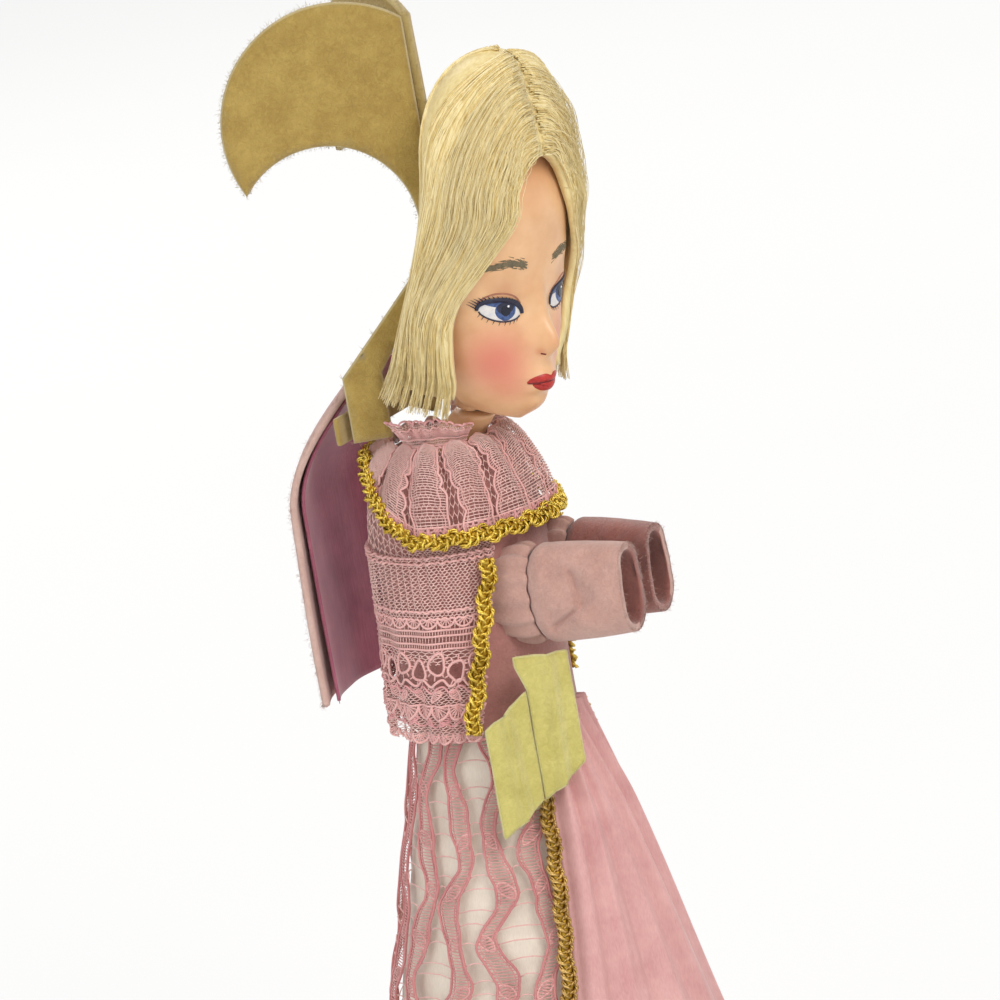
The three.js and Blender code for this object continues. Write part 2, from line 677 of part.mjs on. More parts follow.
function wings() {
  const shape = new THREE.Shape();
  const slant = rad(WING_STEM_ANGLE);
  const rootInner = WING_ROOT_OUT - WING_ROOT_WIDTH;
  shape.moveTo(WING_ROOT_OUT, WING_ROOT_Z);
  shape.lineTo(WING_ROOT_OUT, WING_ROOT_TOP_Z);
  shape.absarc(WING_NOTCH_OUT, WING_NOTCH_Z, notchRadius, slant, notchTip(), true);
  shape.absarc(WING_ARCH_OUT, WING_ARCH_Z, WING_ARCH_RADIUS, archTip(), archFront(), false);
  shape.absarc(WING_NOTCH_OUT, WING_NOTCH_Z, stemRadius, rad(180), slant, false);
  shape.lineTo(rootInner, WING_ROOT_TOP_Z);
  shape.lineTo(rootInner, WING_ROOT_Z);
  for (const [name, mirror] of [['right', 1], ['left', -1]]) {
    const cloth = { depth: WING_FELT, bevelEnabled: false, curveSegments: 16 };
    const felt = new THREE.ExtrudeGeometry(shape, cloth);
    felt.translate(0, 0, -WING_FELT / 2);
    felt.rotateX(Math.PI / 2);
    const holder = new THREE.Group();
    holder.position.set(0, -WING_APEX_FORWARD, 0);
    holder.rotation.z = Math.PI / 2 + mirror * rad(WING_SPLAY);
    figure.add(holder);
    piece(`${name}_wing`, felt, MUSTARD, 0.95, holder);
  }
  bridge();
}

// Angles on the notch and on the arch of the point where the two circles cross, at the wing's tip
function tip() {
  const dx = WING_NOTCH_OUT - WING_ARCH_OUT;
  const dz = WING_NOTCH_Z - WING_ARCH_Z;
  const apart = Math.hypot(dx, dz);
  const along = (apart ** 2 + WING_ARCH_RADIUS ** 2 - notchRadius ** 2) / (2 * apart);
  const across = Math.sqrt(WING_ARCH_RADIUS ** 2 - along ** 2);
  const x = WING_ARCH_OUT + (dx * along - dz * across) / apart;
  const z = WING_ARCH_Z + (dz * along + dx * across) / apart;
  return { x, z };
}

function notchTip() {
  const { x, z } = tip();
  return Math.atan2(z - WING_NOTCH_Z, x - WING_NOTCH_OUT);
}

function archTip() {
  const { x, z } = tip();
  return Math.atan2(z - WING_ARCH_Z, x - WING_ARCH_OUT);
}

function archFront() {
  return Math.PI - Math.acos((WING_ARCH_OUT - wingInner) / WING_ARCH_RADIUS);
}

function bridge() {
  const splay = rad(WING_SPLAY);
  const reach = WING_ROOT_OUT * Math.sin(splay) + WING_FELT;
  const back = WING_ROOT_OUT * Math.cos(splay) - WING_APEX_FORWARD;
  const strip = new THREE.BoxGeometry(2 * reach, FELT, BRIDGE_HEIGHT);
  strip.translate(0, back + WING_FELT / 2 + GAP + FELT / 2, WING_ROOT_Z + BRIDGE_HEIGHT / 2);
  piece('wing_bridge', strip, MUSTARD, 0.95);
}

// Head: a face mask over a filled back

// Half the width of the face at a height: an egg, narrower at the chin
function faceHalfWidth(c) {
  const reach = c < FACE_WIDEST ? FACE_WIDEST - CHIN : MASK_TOP - FACE_WIDEST;
  const t = Math.min(Math.abs(c - FACE_WIDEST) / reach, 1);
  const round = 1 - t ** (c < FACE_WIDEST ? JAW_ROUND : BROW_ROUND);
  return lerp(FACE_EDGE_HALF_WIDTH, FACE_HALF_WIDTH, Math.sqrt(Math.max(round, 0)));
}

// Depth of the face in its middle line, shallower at the chin and at the top
function faceDepth(c) {
  const low = smooth(c, CHIN - CHIN_UNDERCUT, CHIN + JAW_HEIGHT);
  const high = 1 - FOREHEAD_SLOPE * smooth(c, MASK_TOP - FOREHEAD_HEIGHT, MASK_TOP);
  return FACE_DEPTH * low * high;
}

// How far the features stand out at a place on the face. One that lies to a side is on both sides.
function relief(a, c) {
  return FACE_FEATURES.reduce((sum, { side, height, out, wide, tall }) => {
    const across = (Math.abs(a) - side) / wide;
    const up = (c - height) / tall;
    return sum + out * Math.exp(-(across ** 2) - up ** 2);
  }, 0);
}

function face() {
  const skin = (wall) => (s, t) => {
    const c = lerp(CHIN + wall, MASK_TOP - wall, t);
    const turn = lerp(-90, 90, s);
    const a = (faceHalfWidth(c) - wall * FACE_EDGE_HALF_WIDTH) * Math.sin(rad(turn));
    const b = Math.max(faceDepth(c) - wall, MASK_WALL / 2) * Math.cos(rad(turn));
    const raised = wall > 0 ? 0 : relief(a, c) * smooth(Math.cos(rad(turn)), 0, 0.5);
    return new THREE.Vector3(-a, -b - raised, c);
  };
  const shell = sheet({ columns: 16, rows: 18, outer: skin(0), inner: skin(MASK_WALL) });
  piece('face_mask', shell, SKIN, 0.35, head);
}

function backing() {
  const levels = 10;
  const rings = Array.from({ length: levels + 1 }, (_, k) => {
    const c = lerp(BACKING_FOOT, BACKING_TOP, k / levels);
    const half = faceHalfWidth(c) - MASK_WALL - BACKING_CLEAR;
    const ends = Math.sqrt(Math.sin(Math.PI * lerp(BACKING_END, 1 - BACKING_END, k / levels)));
    const steps = 14;
    const round = Array.from({ length: steps + 1 }, (_, i) => {
      const turn = lerp(-90, 90, i / steps);
      const a = half * Math.sin(rad(turn));
      return new THREE.Vector3(a, BACKING_DEPTH * ends * Math.cos(rad(turn)), c);
    });
    const corner = half * BACKING_CORNER;
    const front = -BACKING_FRONT * ends;
    return [...round, new THREE.Vector3(corner, front, c), new THREE.Vector3(-corner, front, c)];
  });
  const top = PEG_TOP + GAP;
  const bore = PEG_RADIUS + GAP;
  const wall = bore + SOCKET_WALL;
  const holeTop = top + SOCKET_WALL + GAP;
  const hole = new THREE.CylinderGeometry(wall + GAP, wall + GAP, holeTop - CHIN, 16);
  hole.rotateX(Math.PI / 2);
  hole.translate(0, HEAD_AXIS_BACK, (holeTop + CHIN) / 2);
  piece('head_backing', cut(loft(rings), hole), BLOND, 0.95, head);

  const profile = [[0, top], [bore, top], [bore, SOCKET_FOOT], [wall, SOCKET_FOOT]];
  profile.push([wall, top + SOCKET_WALL], [0, top + SOCKET_WALL]);
  const socket = new THREE.LatheGeometry(profile.map(([r, z]) => new THREE.Vector2(r, z)), 16);
  socket.rotateX(Math.PI / 2);
  socket.translate(0, HEAD_AXIS_BACK, 0);
  piece('neck_socket', socket, SKIN, 0.5, head);
}

// Hair: hanks that lie on the head and sweep back as they fall, and a crown over them

function headOutline(turn, c, away) {
  const front = Math.cos(turn) > 0 ? faceDepth(c) : BACKING_DEPTH;
  const side = faceHalfWidth(c);
  return new THREE.Vector3(-(side + away) * Math.sin(turn), -(front + away) * Math.cos(turn), c);
}

function hank({ from, to, foot, thick, sweep, spread, mirror = 1 }) {
  const strand = (skin) => (s, t) => {
    const c = lerp(foot, HAIRLINE - GAP, t);
    const fall = (1 - t) ** 2;
    const belly = lerp(HAIR_EDGE_THICK, 1, Math.sin(Math.PI * s));
    const full = skin * thick * belly * (1 + HAIR_FOOT_SWELL * fall);
    const place = headOutline(rad(lerp(from, to, s)), Math.max(c, HAIR_CHEEK), HAIR_CLEAR + full);
    return new THREE.Vector3(mirror * (place.x - spread * fall), place.y + sweep * s * fall, c);
  };
  return sheet({ columns: 8, rows: 8, outer: strand(1), inner: strand(0) });
}

function hair() {
  const side = { from: HAIR_FACE_ANGLE, to: HAIR_SIDE_ANGLE, foot: HAIR_FOOT, thick: HAIR_THICK };
  const falling = { ...side, sweep: HAIR_SWEEP, spread: HAIR_SPREAD };
  piece('hair_right', hank(falling), BLOND, 0.7, head);
  piece('hair_left', hank({ ...falling, mirror: -1 }), BLOND, 0.7, head);
  const start = HAIR_SIDE_ANGLE + HAIR_SEAM_ANGLE;
  const behind = { from: start, to: fullTurn - start, foot: HAIR_BACK_FOOT, thick: HAIR_BACK_THICK };
  piece('hair_back', hank({ ...behind, sweep: 0, spread: 0 }), BLOND, 0.7, head);
  piece('hair_crown', crown(), BLOND, 0.7, head);
}

function crown() {
  const rows = 6;
  const inner = (s, t) => {
    const c = lerp(HAIRLINE, MASK_TOP + HAIR_CLEAR, Math.min(t * rows / (rows - 1), 1));
    if (t === 1) return new THREE.Vector3(0, 0, MASK_TOP + 2 * HAIR_CLEAR);
    return headOutline(s * 2 * Math.PI, Math.min(c, MASK_TOP), HAIR_CLEAR).setZ(c);
  };
  const outer = (s, t) => {
    const rise = rad(90) * t;
    const place = headOutline(s * 2 * Math.PI, HAIRLINE, HAIR_THICK + HAIR_CLEAR);
    const draw = t === 1 ? 0 : Math.cos(rise) ** CROWN_ROUND;
    const back = CROWN_BULGE * Math.sin(2 * rise);
    const y = place.y * draw + Math.max(place.y, 0) / BACKING_DEPTH * back;
    return new THREE.Vector3(place.x * draw, y, lerp(HAIRLINE, HAIR_TOP, Math.sin(rise)));
  };
  return sheet({ columns: 28, rows, ring: true, pole: true, outer, inner });
}

base();
cone();
neck();
torso();
skirts();
capelet();
collar();
capes();
sleeves();
songBook();
wings();
face();
backing();
hair();

export default figure;
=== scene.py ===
"""Angel figure: felt, satin, lace, gold braid, floss hair and a painted face on the CAD frame."""

import math

import bmesh
import bpy
import numpy as np
from mathutils import Matrix, Vector
from mathutils.geometry import delaunay_2d_cdt


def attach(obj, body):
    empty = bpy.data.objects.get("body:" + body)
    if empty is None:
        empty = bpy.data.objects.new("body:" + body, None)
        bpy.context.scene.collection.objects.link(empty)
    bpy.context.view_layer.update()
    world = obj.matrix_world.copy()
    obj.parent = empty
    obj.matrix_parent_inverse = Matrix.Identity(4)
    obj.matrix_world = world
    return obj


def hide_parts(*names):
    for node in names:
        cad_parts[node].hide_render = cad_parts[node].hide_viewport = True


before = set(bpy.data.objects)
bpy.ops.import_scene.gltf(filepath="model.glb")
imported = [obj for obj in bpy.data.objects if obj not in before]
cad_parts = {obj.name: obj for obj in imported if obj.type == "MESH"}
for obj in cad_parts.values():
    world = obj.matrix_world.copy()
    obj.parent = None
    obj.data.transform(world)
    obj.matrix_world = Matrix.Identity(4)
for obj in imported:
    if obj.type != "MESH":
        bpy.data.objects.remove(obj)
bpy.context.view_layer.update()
scene = bpy.context.scene
rng = np.random.default_rng(7)
MM = 0.001
TAU = 2 * math.pi
UP = np.array([0.0, 0.0, 1.0])
SIDES = (("right", 1), ("left", -1))

# Sizes of the CAD model, in millimetres
GAP = 0.3
CONE_FOOT_Z, CONE_FOOT_RADIUS = 1.5, 22.4
WAIST_Z, WAIST_RADIUS = 64, 7.4
CONE_TOP_Z, CONE_TOP_RADIUS = 93, 4.2
CHEST_RADIUS, NECK_RADIUS = 8.6, 5.4
SHOULDER_Z, NECK_Z = 84, 95
FELT, SATIN, LACE = 0.8, 0.7, 0.8
HEM_Z, SKIRT_TOP_Z = 0.5, 65
FLUTES, FLUTE_DEPTH = 12, 0.5
OPENING_HEM, OPENING_TOP = 66, 30
PANEL_FOLDS, PANEL_FOLD_DEPTH = 6, 0.4
CAPELET_HEM_Z, CAPELET_TOP_Z = 64.6, 86
CAPELET_HEM, CAPELET_TOP = 68, 40
CAPELET_RIPPLES, CAPELET_RIPPLE_DEPTH = 16, 0.3
CAPELET_FOOT, CAPELET_FLARE = 10.0, 0.6
GATHERS, GATHER_DEPTH = 14, 0.5
COLLAR_FRONT, COLLAR_BACK, COLLAR_TOP = 15, 58, 84
BODICE_SKIN = GAP + FELT
COLLAR_DEPTH = BODICE_SKIN + GAP + GATHER_DEPTH
COLLAR_SKIN = COLLAR_DEPTH + LACE + GATHER_DEPTH
BRAID_HALF_WIDTH, BRAID_HALF_THICK = 1.1, 0.75
CAPE_HALF_ANGLE, CAPE_TOP_Z, CAPE_HEM_Z = 31, 105.5, 68.5
CAPE_TOP_RADIUS, CAPE_RADIUS, CAPE_DROP = 8.2, 18, 15
SLEEVE_SIDE, SLEEVE_FORWARD, SLEEVE_END_SIDE, SLEEVE_END = 4.7, 13, 3.5, 22.2
SLEEVE_Z, SLEEVE_WIDE, SLEEVE_HIGH, SLEEVE_END_HIGH = 79.7, 2.8, 5.6, 5.0
CUFF_WALL = 0.9
BOOK_ANGLE, BOOK_SIDE, BOOK_FOOT_Z = 50, 1.8, 57.3
LEAF_WIDTH, LEAF_HEIGHT, LEAF_RISE, PAPER = 5, 12.4, 3.4, 0.7
WING_SPLAY, WING_APEX, WING_FELT, WING_STEM, STEM_ANGLE = 30, 5.6, 1.2, 1.9, 225
NOTCH_OUT, NOTCH_Z = 13.2, 121.5
ARCH_OUT, ARCH_Z, ARCH_RADIUS = 9.6, 133.6, 13.2
ROOT_OUT, ROOT_WIDTH, ROOT_Z, ROOT_TOP_Z = 14.6, 4.4, 98.2, 105.6
HEAD_FORWARD, HEAD_Z, HEAD_AXIS_BACK = 10.2, 116.5, 1.1
HEAD_BOW, HEAD_TURN = 14, 14
CHIN, MASK_TOP, CHIN_UNDERCUT, JAW_HEIGHT = -17, 18.5, 8, 4.5
FACE_HALF_WIDTH, FACE_DEPTH, FACE_EDGE, FACE_WIDEST = 9.3, 6.8, 0.9, 1.75
BACKING_DEPTH = 3.6
HAIRLINE, HAIR_TOP, HAIR_FOOT, HAIR_CLEAR, HAIR_THICK = 9.5, 23.6, -15.6, 0.4, 1.5
HAIR_FACE, HAIR_SIDE, HAIR_SEAM, HAIR_CHEEK = 67, 114, 8, -12
HAIR_SWEEP, HAIR_SPREAD = 4.6, 2
CROWN_BULGE, CROWN_ROUND = 1.5, 0.8
FRILL_FRONT, FRILL_BACK, FRILL_GATHERS = 34, 108, 15
FRILL_RISE, FRILL_LOW, FRILL_FLARE = 2.2, 0.8, 2.6

# Sizes of the dressing, in millimetres, and shares of it
PANEL_BELLY = 1.3
SLEEVE_HOLLOW, CUFF_BULGE, SLEEVE_SQUARENESS = 4.4, 0.22, 2.35
# Limits for painted shade on the sleeves, right then left: faces whose turn has a cosine below the limit
# take the darker felt, so the left sleeve is painted in shade over its top and underside too.
SLEEVE_PAINTED_SHADE_LIMITS = (-0.2, 0.55)
LEAF_FLARE, LEAF_FLARE_HEIGHT, LEAF_PLEAT = 0.9, 2.8, 0.8
WING_GRID = 1.1
ROOT_CLEAR, ROOT_HALF_WIDTH, ROOT_HALF_HEIGHT = 2.98, 2.5, 5.1
SKIRT_TAPES, SKIRT_WAVE, SKIRT_FULLNESS = 13, 28, 1.0
RIM_ROUND = 0.32
YOKE_DEPTH = BODICE_SKIN + 0.4
PETAL_LIFT, COLLAR_FULLNESS, FRILL_TUCK, FRILL_SCALLOPS = 0.6, 1.4, 1.5, 14
PLAIT_PITCH, PLAIT_TWIST, PLAIT_WIDE, PLAIT_HIGH = 2.8, 0.95, 0.72, 0.25
PLY_OFFSET, PLY_RADIUS, PLAIT_CORE = 0.16, 0.12, 0.55
FUZZ_RADIUS = 0.02
HAIR_LOCKS, HAIR_STRANDS, LOOSE_STRANDS, BROW_STROKES = 22, 1300, 220, 260


# Arithmetic


def rad(degrees):
    return np.deg2rad(degrees)


def lerp(low, high, t):
    return low + (high - low) * t


def smooth(value, low, high):
    t = np.clip((value - low) / (high - low), 0, 1)
    return t * t * (3 - 2 * t)


def polar(angle, radius, height):
    """Points at an angle from the front, towards the figure's right."""
    angle, radius, height = np.broadcast_arrays(angle, radius, height)
    return np.stack([-radius * np.sin(angle), -radius * np.cos(angle), height], axis=-1)


def unit(vectors):
    return vectors / np.maximum(np.linalg.norm(vectors, axis=-1, keepdims=True), 1e-9)


def wobble(points, size, seed=0):
    """A smooth value from -1 to 1 that changes over about the given size."""
    turned = np.asarray(points, dtype=float) / size
    total = 0
    for k in range(4):
        x, y = math.sin(1.7 * k + seed), math.cos(2.3 * k + 0.7 * seed)
        way = np.array([x, y, math.sin(3.1 * k + 1.9 + seed)])
        total = total + np.sin(turned @ way * (1 + 0.37 * k) * TAU / 2 + 1.3 * k + seed)
    return total / 4


# Making objects


def add_piece(name, points, faces, materials, body, replaces=(), indices=None, closed=False):
    """A mesh piece in the row frame from millimetres, which rides on a body."""
    mesh = bpy.data.meshes.new(name)
    faces = faces if isinstance(faces, list) else faces.tolist()
    mesh.from_pydata((np.asarray(points) * MM).tolist(), [], faces)
    mesh.validate()
    mesh.update()
    for material in materials if isinstance(materials, list) else [materials]:
        mesh.materials.append(material)
    mesh.polygons.foreach_set("use_smooth", [True] * len(mesh.polygons))
    if indices is not None:
        mesh.polygons.foreach_set("material_index", np.asarray(indices, dtype=np.int32))
    if closed:
        turn_outward(mesh)
    piece = bpy.data.objects.new(name, mesh)
    scene.collection.objects.link(piece)
    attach(piece, body)
    if replaces:
        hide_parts(*replaces)
    return piece


def turn_outward(mesh):
    """Turns a closed mesh's faces to point out."""
    work = bmesh.new()
    work.from_mesh(mesh)
    bmesh.ops.recalc_face_normals(work, faces=work.faces)
    work.to_mesh(mesh)
    work.free()


def grid_faces(rows, columns, ring=False, start=0):
    """Quads of a grid of points, row by row."""
    i, j = np.meshgrid(np.arange(rows - 1), np.arange(columns if ring else columns - 1), indexing="ij")
    right = (j + 1) % columns
    low, high = i * columns, (i + 1) * columns
    return np.stack([low + j, low + right, high + right, high + j], axis=-1).reshape(-1, 4) + start


def grid_rim(rows, columns):
    """Numbers of the points round a grid, in order."""
    base = np.arange(rows * columns).reshape(rows, columns)
    return np.concatenate([base[0, :-1], base[:-1, -1], base[-1, :0:-1], base[:0:-1, 0]])


def double_shell(front, rear, start=0):
    """Points and faces of a closed shell between two grids of points."""
    rows, columns = front.shape[:2]
    total = rows * columns
    faces = grid_faces(rows, columns, start=start).tolist()
    faces += grid_faces(rows, columns, start=start + total)[:, ::-1].tolist()
    here = grid_rim(rows, columns) + start
    after = np.roll(here, -1)
    faces += np.stack([here, here + total, after + total, after], axis=-1).tolist()
    return np.vstack([front.reshape(-1, 3), rear.reshape(-1, 3)]), faces


def tangents(path, loop=False):
    """Directions along a path, which may close on itself."""
    if loop:
        return unit(np.roll(path, -1, axis=0) - np.roll(path, 1, axis=0))
    return unit(np.gradient(path, axis=0))


def normals_of(surface, s, t, step=1e-3):
    """Directions square to a surface of s and t, away from the figure."""
    across = surface(s + step, t) - surface(s - step, t)
    along = surface(s, t + step) - surface(s, t - step)
    return unit(np.cross(along, across))


def cloth(name, surface, columns, rows, thick, materials, body, replaces=(), ring=False, rim=0):
    """A sheet with two faces and closed rims. Its outer face is the surface; rim is its rims' material."""
    wide, high = np.meshgrid(np.linspace(0, 1, columns, endpoint=not ring), np.linspace(0, 1, rows))
    outer = surface(wide, high).reshape(-1, 3)
    out = normals_of(surface, wide, high).reshape(-1, 3)
    count = rows * columns
    points = [outer, outer - out * thick]
    sheet = [grid_faces(rows, columns, ring)[:, ::-1], grid_faces(rows, columns, ring, count)]
    base = np.arange(count)
    loops = [base[:columns], base[-columns:][::-1]] if ring else [grid_rim(rows, columns)]
    rims = []
    total = 2 * count
    for loop in loops:
        edge = (outer - out * thick / 2)[loop]
        push = unit(np.cross(tangents(edge, loop=True), out[loop])) * thick * RIM_ROUND
        away = np.sign((push * (edge - outer.mean(axis=0))).sum(axis=-1, keepdims=True) + 1e-9)
        points.append(edge + push * away)
        mid = total + np.arange(len(loop))
        next_mid, next_loop = np.roll(mid, -1), np.roll(loop, -1)
        rims.append(np.stack([loop, mid, next_mid, next_loop], axis=-1))
        rims.append(np.stack([mid, loop + count, next_loop + count, next_mid], axis=-1))
        total += len(loop)
    faces = np.concatenate(sheet + rims)
    kinds = np.where(np.arange(len(faces)) < sum(map(len, sheet)), 0, rim)
    return add_piece(name, np.concatenate(points), faces, materials, body, replaces, kinds, closed=True)


def area_of(surface, columns=260, rows=120):
    """Area of a surface of s and t in square metres."""
    points = surface(*np.meshgrid(np.linspace(0, 1, columns), np.linspace(0, 1, rows))) * MM
    across = points[:-1, 1:] - points[:-1, :-1]
    along = points[1:, :-1] - points[:-1, :-1]
    return float(np.linalg.norm(np.cross(across, along), axis=-1).sum())


def declare(surface, fullness=1.0):
    """Works out the area of a surface times its fullness; the area is not used further."""
    area = area_of(surface) * fullness


class Threads:
    """Thin tubes and tapes, gathered into one mesh."""

    def __init__(self):
        self.points, self.faces, self.kinds, self.total = [], [], [], 0

    def add(self, path, out, radius, flat=1.0, sides=5, taper=0.0, loop=False, kind=0):
        """A tube along a path. out is the direction in which it is flattened."""
        path = np.asarray(path, dtype=float)
        out = np.broadcast_to(np.asarray(out, dtype=float), path.shape)
        n = len(path)
        along = tangents(path, loop)
        across = unit(np.cross(along, out))
        up = np.cross(across, along)
        size = np.broadcast_to(np.asarray(radius, dtype=float), (n,))
        if taper:
            size = size * (1 - taper * np.linspace(0, 1, n) ** 2)
        turn = np.arange(sides) / sides * TAU + 0.4
        wide, high = np.cos(turn)[None, :, None], (flat * np.sin(turn))[None, :, None]
        tube = path[:, None] + (across[:, None] * wide + up[:, None] * high) * size[:, None, None]
        quads = grid_faces(n, sides, ring=True, start=self.total)
        if loop:
            last = self.total + (n - 1) * sides + np.arange(sides)
            first = self.total + np.arange(sides)
            seam = np.stack([last, np.roll(last, -1), np.roll(first, -1), first], axis=-1)
            quads = np.concatenate([quads, seam])
        self.points.append(tube.reshape(-1, 3))
        self.faces.extend(quads.tolist())
        made = len(quads)
        if not loop:
            self.faces.append((self.total + np.arange(sides)[::-1]).tolist())
            self.faces.append((self.total + (n - 1) * sides + np.arange(sides)).tolist())
            made += 2
        self.kinds.extend([kind] * made)
        self.total += n * sides

    def on(self, surface, s, t, radius, lift=0.0, **shape):
        """A tube along s and t on a surface, lifted off it."""
        s, t = np.broadcast_arrays(np.asarray(s, dtype=float), np.asarray(t, dtype=float))
        out = normals_of(surface, s, t)
        lifted = surface(s, t) + out * np.broadcast_to(lift, s.shape)[..., None]
        self.add(lifted, out, radius, **shape)

    def piece(self, name, materials, body, slot, replaces=()):
        points = np.concatenate(self.points)
        return add_piece(name, points, self.faces, materials, body, replaces, self.kinds)


# Materials, with colours as 0 to 255 values


def srgb(*colour):
    """A linear colour from its 0 to 255 values."""
    def linear(value):
        value /= 255
        return value / 12.92 if value <= 0.04045 else ((value + 0.055) / 1.055) ** 2.4
    return (*(linear(value) for value in colour), 1.0)


class Finish:
    """A node material with a Principled shader, and short ways to add nodes to it."""

    def __init__(self, name, **values):
        self.material = bpy.data.materials.new(name)
        self.material.use_nodes = True
        self.tree = self.material.node_tree
        self.shader = self.tree.nodes["Principled BSDF"]
        for socket, value in values.items():
            self.shader.inputs[socket.replace("_", " ").title().replace("Ior", "IOR")].default_value = value
        self.place = self.tree.nodes.new("ShaderNodeTexCoord").outputs["Object"]

    def node(self, kind, **settings):
        made = self.tree.nodes.new(kind)
        for key, value in settings.items():
            setattr(made, key, value)
        return made

    def link(self, source, target):
        self.tree.links.new(source, target)

    def stretched(self, x, y, z):
        mapping = self.node("ShaderNodeMapping")
        mapping.inputs["Scale"].default_value = (x, y, z)
        self.link(self.place, mapping.inputs["Vector"])
        return mapping.outputs["Vector"]

    def noise(self, size, detail=4, rough=0.6, place=None, distort=0.0):
        """Noise with features of a size in millimetres."""
        made = self.node("ShaderNodeTexNoise")
        made.inputs["Scale"].default_value = 1 / (size * MM)
        made.inputs["Detail"].default_value = detail
        made.inputs["Roughness"].default_value = rough
        made.inputs["Distortion"].default_value = distort
        self.link(place or self.place, made.inputs["Vector"])
        return made.outputs["Fac"]

    def ramp(self, factor, stops):
        made = self.node("ShaderNodeValToRGB")
        elements = made.color_ramp.elements
        while len(elements) < len(stops):
            elements.new(0.5)
        for element, (at, colour) in zip(elements, stops):
            element.position = at
            element.color = srgb(*colour)
        self.link(factor, made.inputs["Fac"])
        return made.outputs["Color"]

    def fill(self, sockets, values):
        """Sets each socket to a value or links it to an output."""
        for socket, value in zip(sockets, values):
            if isinstance(value, (tuple, float, int)):
                socket.default_value = value
            else:
                self.link(value, socket)

    def mix(self, factor, first, second):
        made = self.node("ShaderNodeMix", data_type="RGBA")
        self.fill((made.inputs[0], made.inputs[6], made.inputs[7]), (factor, first, second))
        return made.outputs[2]

    def math(self, operation, first, second):
        made = self.node("ShaderNodeMath", operation=operation)
        self.fill(made.inputs, (first, second))
        return made.outputs["Value"]

    def spot(self, centre, radius):
        """1 at a place in millimetres, falling to 0 at a radius."""
        distance = self.node("ShaderNodeVectorMath", operation="DISTANCE")
        distance.inputs[1].default_value = tuple(float(x) * MM for x in centre)
        self.link(self.place, distance.inputs[0])
        made = self.node("ShaderNodeMapRange", interpolation_type="SMOOTHSTEP")
        made.inputs["From Min"].default_value = 0
        made.inputs["From Max"].default_value = radius * MM
        made.inputs["To Min"].default_value = 1
        made.inputs["To Max"].default_value = 0
        self.link(distance.outputs["Value"], made.inputs["Value"])
        return made.outputs["Result"]

    def colour(self, source):
        self.link(source, self.shader.inputs["Base Color"])

    def roughness(self, factor, low, high):
        made = self.node("ShaderNodeMapRange")
        made.inputs["To Min"].default_value = low
        made.inputs["To Max"].default_value = high
        self.link(factor, made.inputs["Value"])
        self.link(made.outputs["Result"], self.shader.inputs["Roughness"])

    def bump(self, height, strength, depth):
        made = self.node("ShaderNodeBump")
        made.inputs["Strength"].default_value = strength
        made.inputs["Distance"].default_value = depth * MM
        self.link(height, made.inputs["Height"])
        self.link(made.outputs["Normal"], self.shader.inputs["Normal"])

    def finish(self, tone, deep, pale, grain, rough, bump=None):
        """Colours by a tone, deep at its first stop, with the grain's roughness and bump."""
        self.colour(self.ramp(tone, [deep, pale]))
        self.roughness(grain, *rough)
        if bump:
            self.bump(grain, *bump)
        return self.material


def felt(name, pale, deep, fibre=0.5):
    """Matted wool: blotches, fine fibres and a soft sheen."""
    look = Finish(name, sheen_weight=0.45, sheen_roughness=0.6, specular_ior_level=0.15)
    blotch = look.noise(3.2, detail=3)
    fibres = look.noise(fibre, detail=6, rough=0.75, distort=1.2)
    tone = look.mix(0.55, blotch, fibres)
    return look.finish(tone, (0.32, deep), (0.68, pale), fibres, (0.85, 1.0), (0.7, 0.25))


def satin(name, pale, deep, gloss=0.36):
    """Woven satin: fine upright threads and a soft gloss."""
    sheen = {"sheen_weight": 0.25, "sheen_roughness": 0.4}
    look = Finish(name, specular_ior_level=0.45, anisotropic=0.4, **sheen)
    threads = look.noise(0.16, detail=3, place=look.stretched(1, 1, 0.06))
    tone = look.mix(0.4, look.noise(5, detail=4), threads)
    return look.finish(tone, (0.3, deep), (0.7, pale), threads, (gloss, gloss + 0.2), (0.35, 0.08))


def thread(name, pale, deep):
    """Cotton thread with a twist."""
    look = Finish(name, sheen_weight=0.35, sheen_roughness=0.5, specular_ior_level=0.2)
    twist = look.noise(0.22, detail=4, rough=0.7)
    tone = look.mix(0.5, look.noise(4, detail=3), twist)
    return look.finish(tone, (0.3, deep), (0.7, pale), twist, (0.7, 0.95), (0.6, 0.12))


def metal_thread(name, pale, deep):
    """Thread wrapped in metal foil: bright glints painted into its colour as highlights, and dull turns
    between them.
    """
    look = Finish(name, metallic=1.0)
    # glint paints bright glints into the colour as highlights, and also sets the roughness and bump.
    glint = look.noise(0.28, detail=5, rough=0.7)
    tone = look.mix(0.6, look.noise(3.0, detail=3), glint)
    return look.finish(tone, (0.32, deep), (0.62, pale), glint, (0.18, 0.5), (0.8, 0.12))


def card(name, pale, deep):
    """Rough card with flecks."""
    look = Finish(name, specular_ior_level=0.2)
    flecks = look.noise(0.7, detail=6, rough=0.75)
    return look.finish(flecks, (0.35, deep), (0.65, pale), flecks, (0.8, 0.95), (0.4, 0.15))


def wire(name, pale, deep):
    """Dull drawn wire."""
    look = Finish(name, metallic=0.9)
    drawn = look.noise(0.3, detail=4, place=look.stretched(1, 1, 0.1))
    return look.finish(drawn, (0.35, deep), (0.65, pale), drawn, (0.4, 0.6))


def floss(name, pale, deep):
    """Silky floss, streaked along its fall."""
    sheen = {"sheen_weight": 0.2, "sheen_roughness": 0.35}
    look = Finish(name, specular_ior_level=0.4, anisotropic=0.3, **sheen)
    streak = look.noise(0.5, detail=4, place=look.stretched(1, 1, 0.2))
    return look.finish(streak, (0.3, deep), (0.7, pale), streak, (0.42, 0.65), (0.4, 0.15))


